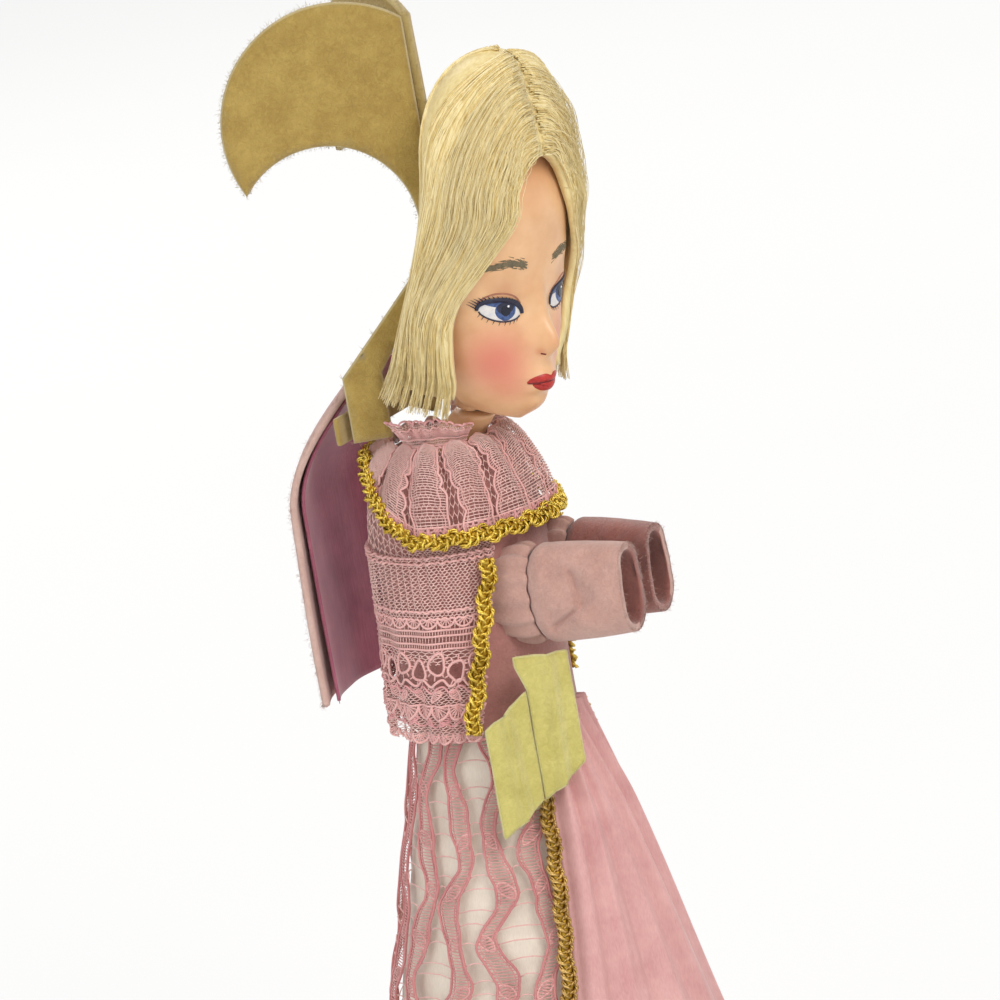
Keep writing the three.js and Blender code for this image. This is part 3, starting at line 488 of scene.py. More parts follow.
def paint(name, pale, deep, gloss=0.4, size=0.5):
    """A painted mark with a little unevenness."""
    look = Finish(name, specular_ior_level=0.4)
    strokes = look.noise(size, detail=3)
    return look.finish(strokes, (0.3, deep), (0.7, pale), strokes, (gloss, gloss + 0.15))


PINK_FELT = felt("pink_felt", (210, 168, 155), (176, 131, 120))
# Paler pink felt for cut edges and loose fibres: a painted highlight along the edges.
PINK_FELT_EDGE_HIGHLIGHT = felt("pink_felt_edge_highlight", (226, 194, 182), (198, 158, 146), fibre=0.35)
# The bodice's rose felt is painted deeper than the sleeves' felt: its own colour with painted shade under
# the lace.
BODICE_FELT = felt("bodice_felt", (196, 138, 129), (158, 101, 96))
CAPE_FELT = felt("cape_felt", (212, 164, 152), (182, 132, 124))
# Darker felt that paints shade on the sleeves' inner sides and in their mouths.
PAINTED_SHADE_FELT = felt("painted_shade_felt", (166, 102, 90), (122, 68, 60))
MUSTARD_FELT = felt("mustard_felt", (188, 160, 82), (148, 118, 46))
# Paler mustard felt for the wings' cut edges and loose fibres: a painted highlight along the edges.
MUSTARD_EDGE_HIGHLIGHT = felt("mustard_edge_highlight", (204, 184, 124), (174, 148, 82), fibre=0.35)
SONG_PAPER = felt("song_paper", (216, 206, 124), (178, 166, 78), fibre=0.6)
# Paler paper for the leaves' rims and loose fibres: a painted highlight along the edges.
SONG_EDGE_HIGHLIGHT = felt("song_edge_highlight", (228, 222, 154), (202, 192, 106), fibre=0.4)
WHITE_SATIN = satin("white_satin", (236, 227, 212), (212, 199, 184))
PINK_SATIN = satin("pink_satin", (222, 174, 170), (194, 138, 138), gloss=0.42)
VIOLET_SATIN = satin("violet_satin", (194, 115, 138), (148, 77, 100), gloss=0.34)
LACE_PINK = thread("lace_pink", (243, 197, 191), (219, 161, 157))
LACE_PALE = thread("lace_pale", (245, 213, 205), (225, 178, 171))
SKIRT_LACE = thread("skirt_lace", (228, 168, 163), (198, 130, 129))
SKIRT_CORD = thread("skirt_cord", (216, 148, 145), (184, 108, 111))
LACE_ROSE = thread("lace_rose", (235, 179, 177), (209, 141, 143))
LACES = [LACE_PINK, LACE_PALE, LACE_ROSE]
GOLD = metal_thread("gold_thread", (255, 228, 112), (150, 112, 18))
# Darker gold for the plait's core: painted shade in the gaps between the plies.
GOLD_GAP_SHADE = metal_thread("gold_gap_shade", (188, 150, 54), (104, 78, 20))
OLD_GOLD = metal_thread("old_gold_thread", (222, 188, 118), (136, 104, 52))
CARD = card("card", (206, 192, 160), (168, 152, 118))
CORK = card("cork", (190, 150, 100), (140, 104, 62))
WIRE = wire("neck_wire", (170, 160, 145), (120, 112, 100))
WADDING = card("wadding", (236, 230, 220), (210, 202, 190))
FLOSS = floss("floss", (241, 224, 168), (222, 198, 134))
FLOSS_PALE = floss("floss_pale", (248, 235, 191), (233, 214, 156))
FLOSS_DEEP = floss("floss_deep", (226, 203, 139), (201, 173, 106))
BROW = paint("brow", (124, 112, 88), (98, 90, 70), gloss=0.6)
LASH = paint("lash", (48, 50, 72), (30, 32, 52))
IRIS = paint("iris", (78, 104, 156), (40, 56, 102), gloss=0.25, size=0.25)
PUPIL = paint("pupil", (24, 28, 46), (14, 16, 28), gloss=0.2)
EYE_WHITE = paint("eye_white", (228, 222, 214), (202, 202, 208), gloss=0.3)
# Brown for the lid's fold: painted shade in its crease.
PAINTED_CREASE_SHADE = paint("painted_lid_shade", (176, 118, 92), (150, 98, 80), gloss=0.45)
# White for the eyes' glints: a painted highlight.
PAINTED_EYE_HIGHLIGHT = paint("glint", (255, 255, 255), (240, 244, 250), gloss=0.15)
LIPS = paint("lips", (192, 54, 46), (150, 32, 32), gloss=0.3, size=0.6)
LIP_LINE = paint("lip_line", (120, 26, 28), (96, 20, 24))


# Camera, light and floor

PHOTO_AZIMUTH, PHOTO_ELEVATION, PHOTO_ROLL = -60, 14, 10
PHOTO_TARGET = Vector((2.5, -4.3, 88.3)) * MM
PHOTO_WIDTH = 111 * MM
CAMERA_DISTANCE = 0.6
SENSOR = 36
FLOOR_SIZE, FLOOR_GLOW_SHARE = 6, 0.75
SKY_COLOUR, SKY_ON_FIGURE, SKY_SEEN = (1.0, 0.99, 0.975, 1), 0.6, 1.0
LAMP_AIM = Vector((0, 0, 0.085))
LAMPS = (
    ("key", (-0.35, -0.75, 0.75), 0.45, 5.1, (1.0, 0.97, 0.93)),
    ("fill", (-0.85, 0.25, 0.45), 0.6, 2.1, (0.95, 0.97, 1.0)),
    ("rim", (0.6, 0.55, 0.6), 0.4, 2.3, (1.0, 0.98, 0.95)),
)


def photo_camera():
    """A camera at the photograph's angle, turned so that the figure leans to the left."""
    azimuth, elevation, roll = (math.radians(x) for x in (PHOTO_AZIMUTH, PHOTO_ELEVATION, PHOTO_ROLL))
    level_reach = math.cos(elevation)
    back = Vector((math.sin(azimuth) * level_reach, -math.cos(azimuth) * level_reach, math.sin(elevation)))
    level = Vector((0, 0, 1)).cross(back).normalized()
    upright = back.cross(level)
    right = level * math.cos(roll) - upright * math.sin(roll)
    up = level * math.sin(roll) + upright * math.cos(roll)
    data = bpy.data.cameras.new("photo_camera")
    data.sensor_width = SENSOR
    data.lens = SENSOR * CAMERA_DISTANCE / PHOTO_WIDTH
    data.clip_start, data.clip_end = 0.01, 20
    camera = bpy.data.objects.new("photo_camera", data)
    scene.collection.objects.link(camera)
    turn = Matrix((right, up, back)).transposed().to_4x4()
    camera.matrix_world = Matrix.Translation(PHOTO_TARGET + back * CAMERA_DISTANCE) @ turn
    scene.camera = camera


def seen_rays(tree):
    """1 for what the camera sees, also in metal and glass, and 0 for light on the figure."""
    path = tree.nodes.new("ShaderNodeLightPath").outputs
    seen = path["Is Camera Ray"]
    for other in ("Is Glossy Ray", "Is Transmission Ray"):
        either = tree.nodes.new("ShaderNodeMath")
        either.operation = "MAXIMUM"
        tree.links.new(seen, either.inputs[0])
        tree.links.new(path[other], either.inputs[1])
        seen = either.outputs["Value"]
    return seen


def pale_floor():
    """A floor that the camera sees nearly white and that keeps the figure's shadow."""
    size = FLOOR_SIZE
    corners = [(-size, -size, 0), (size, -size, 0), (size, size, 0), (-size, size, 0)]
    mesh = bpy.data.meshes.new("floor")
    mesh.from_pydata(corners, [], [(0, 1, 2, 3)])
    look = Finish("floor_paper", roughness=0.95, specular_ior_level=0.05)
    grain = look.noise(90, detail=1)
    look.colour(look.ramp(grain, [(0.3, (246, 246, 245)), (0.7, (248, 248, 247))]))
    glow = look.node("ShaderNodeEmission")
    glow.inputs["Color"].default_value = (1.0, 1.0, 1.0, 1.0)
    glow.inputs["Strength"].default_value = 1.0
    paper = look.node("ShaderNodeMixShader")
    look.link(look.math("MULTIPLY", seen_rays(look.tree), FLOOR_GLOW_SHARE), paper.inputs[0])
    look.link(look.shader.outputs[0], paper.inputs[1])
    look.link(glow.outputs[0], paper.inputs[2])
    look.link(paper.outputs[0], look.tree.nodes["Material Output"].inputs["Surface"])
    mesh.materials.append(look.material)
    floor = bpy.data.objects.new("floor", mesh)
    scene.collection.objects.link(floor)


def even_sky():
    world = bpy.data.worlds.new("studio_sky")
    world.use_nodes = True
    tree = world.node_tree
    sky = tree.nodes["Background"]
    sky.inputs["Color"].default_value = SKY_COLOUR
    level = tree.nodes.new("ShaderNodeMapRange")
    level.inputs["To Min"].default_value = SKY_ON_FIGURE
    level.inputs["To Max"].default_value = SKY_SEEN
    tree.links.new(seen_rays(tree), level.inputs["Value"])
    tree.links.new(level.outputs["Result"], sky.inputs["Strength"])
    scene.world = world


def soft_lamps():
    for name, where, size, power, colour in LAMPS:
        data = bpy.data.lights.new(name, "AREA")
        data.size, data.energy, data.color = size, power, colour
        lamp = bpy.data.objects.new(name, data)
        lamp.location = where
        lamp.rotation_euler = (LAMP_AIM - Vector(where)).to_track_quat("-Z", "Y").to_euler()
        scene.collection.objects.link(lamp)


photo_camera()
pale_floor()
even_sky()
soft_lamps()
scene.view_settings.view_transform = "Standard"


# Surfaces of the body, from the inside out


def cone_radius(z):
    skirt = lerp(CONE_FOOT_RADIUS, WAIST_RADIUS, (z - CONE_FOOT_Z) / (WAIST_Z - CONE_FOOT_Z))
    torso = lerp(WAIST_RADIUS, CONE_TOP_RADIUS, (z - WAIST_Z) / (CONE_TOP_Z - WAIST_Z))
    return np.where(z < WAIST_Z, skirt, torso)


def underskirt_radius(z):
    return cone_radius(z) + GAP + SATIN


def overskirt_radius(z):
    return underskirt_radius(z) + GAP


def skirt_height(z):
    return (z - HEM_Z) / (SKIRT_TOP_Z - HEM_Z)


def opening_angle(z):
    return rad(lerp(OPENING_HEM, OPENING_TOP, skirt_height(z)))


def flute_spread(z):
    return 2 * FLUTE_DEPTH * (1 - skirt_height(z))


def skirt_braid_radius(z):
    return overskirt_radius(z) + LACE + flute_spread(z) + GAP + BRAID_HALF_THICK


def torso_point(around, over, depth):
    radius = NECK_RADIUS + (CHEST_RADIUS - NECK_RADIUS + depth) * np.cos(over)
    return polar(around, radius, SHOULDER_Z + (NECK_Z - SHOULDER_Z + depth) * np.sin(over))


def torso_face(depth):
    """The torso's straight part, then its shoulder, at a depth of layers."""
    foot, straight = WAIST_Z + FELT + GAP, 0.45

    def face(s, t):
        around = s * TAU
        low = polar(around, CHEST_RADIUS + depth, lerp(foot, SHOULDER_Z, np.minimum(t / straight, 1)))
        high = torso_point(around, rad(90) * np.clip((t - straight) / (1 - straight), 0, 1), depth)
        return np.where((t < straight)[..., None], low, high)

    return face


def collar_edge(angle):
    back = np.abs(np.arctan2(np.sin(angle), np.cos(angle)))
    return rad(lerp(COLLAR_FRONT, COLLAR_BACK, smooth(back, rad(80), rad(150))))


def capelet_height(z):
    return (z - CAPELET_HEM_Z) / (CAPELET_TOP_Z - CAPELET_HEM_Z)


def capelet_angle(z):
    return rad(lerp(CAPELET_HEM, CAPELET_TOP, capelet_height(z)))


def capelet_radius(z):
    return CAPELET_FOOT + CAPELET_FLARE * (1 - capelet_height(z))


# The body and its plain cloth


def keep_nodes():
    """CAD nodes whose shape is right get their materials."""
    looks = {
        "base_disc": CARD, "body_cone": CARD, "neck_plug": CORK, "neck_peg": WIRE,
        "head_backing": FLOSS_DEEP, "neck_socket": SKIN,
    }
    for name, look in looks.items():
        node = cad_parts[name]
        node.data.materials.clear()
        node.data.materials.append(look)


def body_cloth():
    """Wadding, bodice, underskirt and front panel."""
    wadding = cloth(
        "wadding", torso_face(-0.1), 48, 24, 0.7, WADDING,
        "figure", ["torso_padding"], ring=True,
    )

    skin = torso_face(BODICE_SKIN)

    def bodice(s, t):
        points = skin(s, t)
        return points * (1 + 0.004 * wobble(points, 5)[..., None] * np.array([1, 1, 0]))

    # The bodice felt's deeper colour is painted shade under the lace.
    felt_top = cloth(
        "bodice_felt", bodice, 96, 40, FELT * 0.85, BODICE_FELT,
        "figure", ["bodice"], ring=True,
    )
    declare(bodice)

    def under(s, t):
        z = lerp(HEM_Z, SKIRT_TOP_Z, t)
        around = s * TAU
        crumple = 0.12 * wobble(polar(around, underskirt_radius(z), z), 7, seed=2) - 0.12
        return polar(around, underskirt_radius(z) + crumple, z)

    skirt = cloth(
        "satin_underskirt", under, 120, 60, SATIN * 0.7, WHITE_SATIN,
        "figure", ["underskirt"], ring=True,
    )
    declare(under)

    def panel(s, t):
        z = lerp(HEM_Z, SKIRT_TOP_Z, t)
        edge = opening_angle(z) - 0.1 / overskirt_radius(z)
        drift = 0.035 * np.sin(3.1 * t + 5 * s) * (1 - t)
        phase = PANEL_FOLDS * TAU * (s + drift)
        fold = 1.8 * PANEL_FOLD_DEPTH * (1 - np.cos(phase)) * (0.75 + 0.25 * np.sin(7 * t + 9 * s))
        fine = 0.16 * np.sin(2.6 * phase + 4 * t) * (1 - 0.7 * t)
        round_out = np.maximum(np.sin(math.pi * s), 0) ** 0.7
        belly = PANEL_BELLY * round_out * smooth(t, 1.0, 0.8) * (0.7 + 0.3 * smooth(t, 0, 0.3))
        rim = 0.6 * flute_spread(z) * np.abs(2 * s - 1) ** 8
        return polar(lerp(-edge, edge, s), overskirt_radius(z) + fold + fine + SATIN + belly + rim, z)

    front = cloth(
        "satin_front_panel", panel, 140, 70, SATIN * 0.6, PINK_SATIN,
        "figure", ["front_panel"],
    )
    declare(panel)


# Gold braid: three strands in a plait, each of three twisted threads


def plait(name, path, out, material, node, loop=False):
    """A flat plait along a path of points, with the direction away from the cloth at each."""
    if loop:
        path, out = np.vstack([path, path[:1]]), np.vstack([out, out[:1]])
    walked = np.concatenate([[0], np.cumsum(np.linalg.norm(np.diff(path, axis=0), axis=1))])
    length = walked[-1]
    pitch = length / max(round(length / PLAIT_PITCH), 1)
    turns = round(length / PLAIT_TWIST) / length
    fine = np.linspace(0, length, int(length * 9), endpoint=not loop)

    def resample(values):
        return np.stack([np.interp(fine, walked, values[:, k]) for k in range(3)], axis=-1)

    spine, away = resample(path), unit(resample(out))
    across = unit(np.cross(tangents(spine, loop), away))

    def offset(base, sideways, outward):
        return base + across * sideways[:, None] + away * outward[:, None]

    made = Threads()
    for strand in range(3):
        phase = TAU * (fine / pitch + strand / 3)
        centre = offset(spine, PLAIT_WIDE * np.sin(phase), PLAIT_HIGH * np.sin(2 * phase))
        for ply in range(3):
            twist = TAU * (fine * turns + ply / 3)
            wound = offset(centre, PLY_OFFSET * np.cos(twist), PLY_OFFSET * np.sin(twist))
            made.add(wound, away, PLY_RADIUS, sides=4, loop=loop)
    # The core under the plies takes the darker gold, as painted shade in the gaps.
    made.add(spine - away * 0.15, away, PLAIT_CORE, flat=0.3, sides=8, loop=loop, kind=1)
    made.piece(name, [material, GOLD_GAP_SHADE], "figure", "gold_braid", [node])


def front_braid(name, node, z, radius, edge, sway, waves, material):
    """Braid that sways a little up both front edges of a layer."""
    for hand, side in SIDES:
        angle = side * (edge + BRAID_HALF_WIDTH / radius + sway * np.sin(z * waves) / radius)
        path, out = polar(angle, radius, z), polar(angle, 1, 0)
        plait(f"{name}_{hand}", path, out, material, f"{node}_{hand}")


def braids():
    """Braid on the skirt's and the capelet's front edges and along the collar."""
    z = np.linspace(HEM_Z + BRAID_HALF_WIDTH, SKIRT_TOP_Z - BRAID_HALF_WIDTH, 40)
    radius = skirt_braid_radius(z) - 0.25
    front_braid("skirt_braid", "overskirt_braid", z, radius, opening_angle(z), 0.25, 1.3, OLD_GOLD)
    z = np.linspace(CAPELET_HEM_Z + BRAID_HALF_WIDTH, CAPELET_TOP_Z - BRAID_HALF_WIDTH, 30)
    ripple = 2 * CAPELET_RIPPLE_DEPTH * (1 - capelet_height(z))
    radius = capelet_radius(z) + LACE + ripple + BRAID_HALF_THICK + 0.05
    front_braid("bolero_braid", "capelet_braid", z, radius, capelet_angle(z), 0.3, 1.5, GOLD)
    angle = np.linspace(0, TAU, 120, endpoint=False)
    over = collar_edge(angle) + 0.025 * np.sin(24 * angle)
    point = torso_point(angle, over, COLLAR_SKIN + BRAID_HALF_THICK / 4)
    out = unit(point - torso_point(angle, over, 0))
    plait("neckline_braid", point, out, GOLD, "collar_braid", loop=True)


# Felt: cape, sleeves, arm roots, wings, and the paper song book


def fuzz(name, points, directions, count, length, material, body, slot):
    """Loose fibres that stand off felt at some of the given points."""
    made = Threads()
    steps = np.array([0, 0.5, 1])[:, None]
    for pick in rng.integers(0, len(points), count):
        way = unit(directions[pick] + rng.normal(0, 0.6, 3))
        curl = rng.normal(0, 0.35, 3)
        reach = length * rng.uniform(0.4, 1.1)
        start = points[pick] + rng.normal(0, 0.1, 3)
        path = start + way * reach * steps + curl * reach * steps ** 2
        made.add(path, np.array([0.3, 0.2, 0.9]), FUZZ_RADIUS, sides=3, taper=0.5)
    return made.piece(name, material, body, slot)


def cape_profile(z):
    drop = np.minimum((CAPE_TOP_Z - z) / CAPE_DROP, 1)
    return lerp(CAPE_TOP_RADIUS, CAPE_RADIUS, np.sin(rad(90) * drop))


def capes():
    """The felt cape, its satin lining and the lining's frayed edges."""
    half, lining_half = rad(CAPE_HALF_ANGLE), rad(CAPE_HALF_ANGLE - 4)

    def felt_cape(s, t):
        held = np.clip(t, 0, 1)
        z = lerp(CAPE_HEM_Z, CAPE_TOP_Z, held)
        flare = 0.35 * np.abs(2 * s - 1) ** 4 * (1 - t)
        wave = 0.18 * (1 + np.sin(9 * s + 6 * t)) * (1 - 0.6 * t)
        height = z + (t - held) * (CAPE_TOP_Z - CAPE_HEM_Z)
        return polar(math.pi + lerp(-half, half, s), cape_profile(z) + flare + wave, height)

    # The cape's rims take the paler felt, a painted highlight along its cut edges.
    sheet = cloth(
        "felt_cape", felt_cape, 60, 80, FELT, [CAPE_FELT, PINK_FELT_EDGE_HIGHLIGHT],
        "figure", ["cape"], rim=1,
    )
    edge, start, end = np.linspace(0, 1, 200), np.zeros(200), np.ones(200)
    rims = np.vstack([felt_cape(start, edge), felt_cape(end, edge), felt_cape(edge, start)])
    ways = [polar(math.pi + way * (half + 1.2), 1.0, 0.0) for way in (-1, 1)] + [-UP]
    ways = np.repeat(ways, len(edge), axis=0)
    loose = fuzz("cape_fuzz", rims, ways, 1500, 0.4, PINK_FELT_EDGE_HIGHLIGHT, "figure", "pink_felt")
    declare(felt_cape)

    def lining(s, t):
        z = lerp(CAPE_HEM_Z, CAPE_TOP_Z, t)
        ripple = 0.08 * np.sin(14 * s + 5 * t)
        radius = cape_profile(z) - FELT - GAP + ripple
        return polar(math.pi + lerp(-lining_half, lining_half, s), radius, z)

    silk = cloth("satin_lining", lining, 50, 70, 0.4, VIOLET_SATIN, "figure", ["cape_lining"])
    frayed = Threads()
    bend = np.linspace(0, 1, 4)
    for s, way in ((0, 1), (1, -1)):
        for t in np.linspace(0.01, 0.99, 150):
            reach = rng.uniform(0.3, 1.3)
            arc = np.clip(s - way * bend * reach / 16, -0.08, 1.08)
            drop = bend ** 2 * rng.uniform(-0.02, 0.03)
            frayed.on(lining, arc, t - drop, 0.05, lift=-0.2, sides=3)
    fringe = frayed.piece("lining_fray", VIOLET_SATIN, "figure", "violet_satin")
    declare(lining)


def capped_loft(name, rings, materials, body, replaces, indices=None):
    """A closed body through rings of points."""
    count = len(rings[0])
    points = np.vstack(rings + [rings[0].mean(axis=0)[None], rings[-1].mean(axis=0)[None]])
    faces = grid_faces(len(rings), count, ring=True).tolist()
    foot, top, last = len(points) - 2, len(points) - 1, (len(rings) - 1) * count
    for k in range(count):
        after = (k + 1) % count
        faces += [[after, k, foot], [last + k, last + after, top]]
    return add_piece(name, points, faces, materials, body, replaces, indices, closed=True)


def sleeve_kinds(rows, columns, mouth, inner):
    """Material of each face of a sleeve: painted shade in its mouth, at the inner end of its hollow and on
    the faces picked by inner.
    """
    kinds = np.zeros((rows - 1, columns), dtype=int)
    kinds[mouth:] = 1
    kinds[:, inner] = 1
    return kinds.ravel().tolist() + [0, 1] * columns


def sleeve_folds(along, z):
    """How far a sleeve's felt sinks in: a fold, the crease that leaves its foot, and a plump underside."""
    past = along - (3.5 - 0.18 * (z - 0.9))
    step = np.exp(-np.maximum(past, 0) / 2.1) / (1 + np.exp(-past / 0.06))
    fold = step * np.exp(-(((z - 0.9) / 2.5) ** 4))
    across = 0.528 * (along - 4.0) - 0.849 * (z + 1.3)
    down = (-0.849 * (along - 4.0) - 0.528 * (z + 1.3)) / 4.4
    crease = 0.75 * np.exp(-((across / 0.3) ** 2)) * np.exp(-(((down - 0.5) / 0.55) ** 4))
    plump = 0.5 * np.exp(-(((along - 5.6) / 2.2) ** 2) - ((z + 3.2) / 1.5) ** 2)
    soft = 0.12 * np.sin(1.1 * along + 0.9 * z) + 0.08 * np.sin(2.3 * along - 1.7 * z)
    return (fold + crease - plump - soft) * np.clip((along + 0.6) / 1.2, 0, 1)


def sleeve_stations(length):
    """Place, half width and half height of each ring of a sleeve, and the ring where its mouth starts."""
    stations = []
    for tilt in np.radians(np.linspace(84, 6, 12)):
        shrink = math.cos(tilt)
        stations.append((-SLEEVE_WIDE * math.sin(tilt), SLEEVE_WIDE * shrink, SLEEVE_HIGH * shrink))
    for t in np.linspace(0, 1, 110):
        stations.append((length * t, SLEEVE_WIDE, lerp(SLEEVE_HIGH, SLEEVE_END_HIGH, t * t)))
    for turn in np.radians(np.linspace(20, 160, 7)):
        inset = CUFF_WALL * (1 - math.cos(turn)) / 2
        lip = length + CUFF_BULGE * math.sin(turn) - CUFF_BULGE
        stations.append((lip, SLEEVE_WIDE - inset, SLEEVE_END_HIGH - inset))
    mouth = len(stations) - 2
    for back in np.linspace(0.3, SLEEVE_HOLLOW, 9):
        stations.append((length - back, SLEEVE_WIDE - CUFF_WALL, SLEEVE_END_HIGH - CUFF_WALL))
    return stations, mouth


def sleeves():
    """Stuffed felt sleeves with a crease, a soft cuff and painted shade inside, on the side towards the
    other sleeve and, on the left sleeve, over its top and underside as well.
    """
    length = SLEEVE_END - SLEEVE_FORWARD
    stations, mouth = sleeve_stations(length)
    turn = np.linspace(0, TAU, 120, endpoint=False)
    power = 2 / SLEEVE_SQUARENESS
    wide_way = np.sign(np.cos(turn)) * np.abs(np.cos(turn)) ** power
    high_way = np.sign(np.sin(turn)) * np.abs(np.sin(turn)) ** power
    for (name, mirror), shaded in zip(SIDES, SLEEVE_PAINTED_SHADE_LIMITS):
        rings = []
        for along, wide, high in stations:
            side = lerp(SLEEVE_SIDE, SLEEVE_END_SIDE, max(along, 0) / length)
            z = high * high_way
            sink = sleeve_folds(along, z) if wide > SLEEVE_WIDE - CUFF_WALL else 0
            x = -side - wide * wide_way + np.cos(turn) * sink
            y = np.full_like(x, -SLEEVE_FORWARD - along)
            rings.append(np.stack([mirror * x, y, SLEEVE_Z + z], axis=-1))
        # Painted shade: the mouth, the hollow's inner end and the faces below the limit take the darker
        # felt.
        kinds = sleeve_kinds(len(rings), len(turn), mouth, np.cos(turn) < shaded)
        body, node = f"{name}_arm", f"{name}_sleeve"
        felts = [PINK_FELT, PAINTED_SHADE_FELT]
        sleeve = capped_loft(f"felt_sleeve_{name}", rings, felts, body, [node], indices=kinds)
        rim = np.vstack(rings[mouth - 5:mouth - 1])
        out = np.tile([0.0, -1.0, 0.0], (len(rim), 1))
        # The cuff's loose fibres are painted paler, as a highlight.
        fuzz(f"cuff_fuzz_{name}", rim, out, 500, 0.32, PINK_FELT_EDGE_HIGHLIGHT, body, "pink_felt")


def arm_roots():
    """Gathered felt from the chest to each sleeve's round end, which turns clear of it."""
    turn = np.linspace(0, TAU, 112, endpoint=False)
    gather = 1 + 0.05 * np.cos(14 * turn)
    shell = CHEST_RADIUS + BODICE_SKIN - 0.3
    high = ROOT_CLEAR * SLEEVE_HIGH / SLEEVE_WIDE
    for name, mirror in SIDES:
        def ring(size, q, mirror=mirror):
            side, z = ROOT_HALF_WIDTH * size * np.cos(turn), ROOT_HALF_HEIGHT * size * np.sin(turn)
            x = -SLEEVE_SIDE - side
            chest = -np.sqrt(shell ** 2 - x ** 2)
            reach = 1 - (side / ROOT_CLEAR) ** 2 - (z / high) ** 2
            front = ROOT_CLEAR * np.sqrt(reach) - SLEEVE_FORWARD
            return np.stack([mirror * x, lerp(chest, front, q), SLEEVE_Z + z], axis=-1)

        rings = [ring(gather * (1 + 0.1 * math.sin(math.pi * q)), q) for q in np.linspace(0, 0.97, 14)]
        rings += [ring(gather * size, 1.0) for size in (0.96, 0.9, 0.7, 0.45, 0.2)]
        node = f"{name}_arm_root"
        root = capped_loft(f"felt_arm_root_{name}", rings, PINK_FELT, "figure", [node])


def wing_bridge():
    """A rounded felt copy of the small solid that joins the wings."""
    node = "wing_bridge"
    piece = bpy.data.objects.new("felt_wing_bridge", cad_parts[node].data.copy())
    scene.collection.objects.link(piece)
    piece.data.materials.clear()
    piece.data.materials.append(MUSTARD_FELT)
    remesh = piece.modifiers.new("fine", "REMESH")
    remesh.mode, remesh.voxel_size, remesh.use_smooth_shade = "VOXEL", 0.25 * MM, True
    ease = piece.modifiers.new("ease", "SMOOTH")
    ease.factor, ease.iterations = 0.5, 6
    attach(piece, "wings")
    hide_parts(node)


def song_book():
    """Two soft leaves that meet at the crease."""
    turn = rad(BOOK_ANGLE)
    distance = float(skirt_braid_radius(np.array(BOOK_FOOT_Z))) + BRAID_HALF_THICK + GAP
    forward, out = polar(turn - math.pi / 2, 1, 0), polar(turn, 1, 0)
    crease = polar(turn, distance, BOOK_FOOT_Z) + forward * BOOK_SIDE
    edge, start, end = np.linspace(0, 1, 80), np.zeros(80), np.ones(80)
    ways = np.repeat([-UP, UP, forward, -forward], len(edge), axis=0)
    for name, side, body in (("back", 1, "figure"), ("front", -1, "song_leaf")):
        def page(s, t, side=side):
            part = 1 - s if side > 0 else s
            x = side * (GAP / 2 + LEAF_WIDTH * part)
            tall = LEAF_HEIGHT
            if side > 0:
                tall = tall + lerp(LEAF_RISE + 0.7, 0.2, part)
                above = np.clip((tall * t - LEAF_HEIGHT - 0.3) / LEAF_FLARE_HEIGHT, 0, 1)
                x = x - LEAF_FLARE * (1 - part) * above
            z = side * LEAF_RISE * part + tall * t
            pleat = LEAF_PLEAT * np.maximum(1 - np.abs(part - 0.45 - 0.1 * t) / 0.22, 0)
            bow = 0.2 * np.sin(math.pi * part) + pleat + 0.08 * np.sin(9 * t + 3 * part)
            depth = PAPER - 0.1 + bow
            return crease + forward * x[..., None] + UP * z[..., None] + out * depth[..., None]

        # The leaves' rims take the paler paper, a painted highlight along the edges.
        cloth(
            f"song_leaf_{name}", page, 24, 48, PAPER * 0.8, [SONG_PAPER, SONG_EDGE_HIGHLIGHT],
            body, [f"songbook_{name}_leaf"], rim=1,
        )
        rims = np.vstack([page(edge, start), page(edge, end), page(start, edge), page(end, edge)])
        fuzz(f"song_fuzz_{name}", rims, ways, 260, 0.26, SONG_EDGE_HIGHLIGHT, body, "yellow_paper")


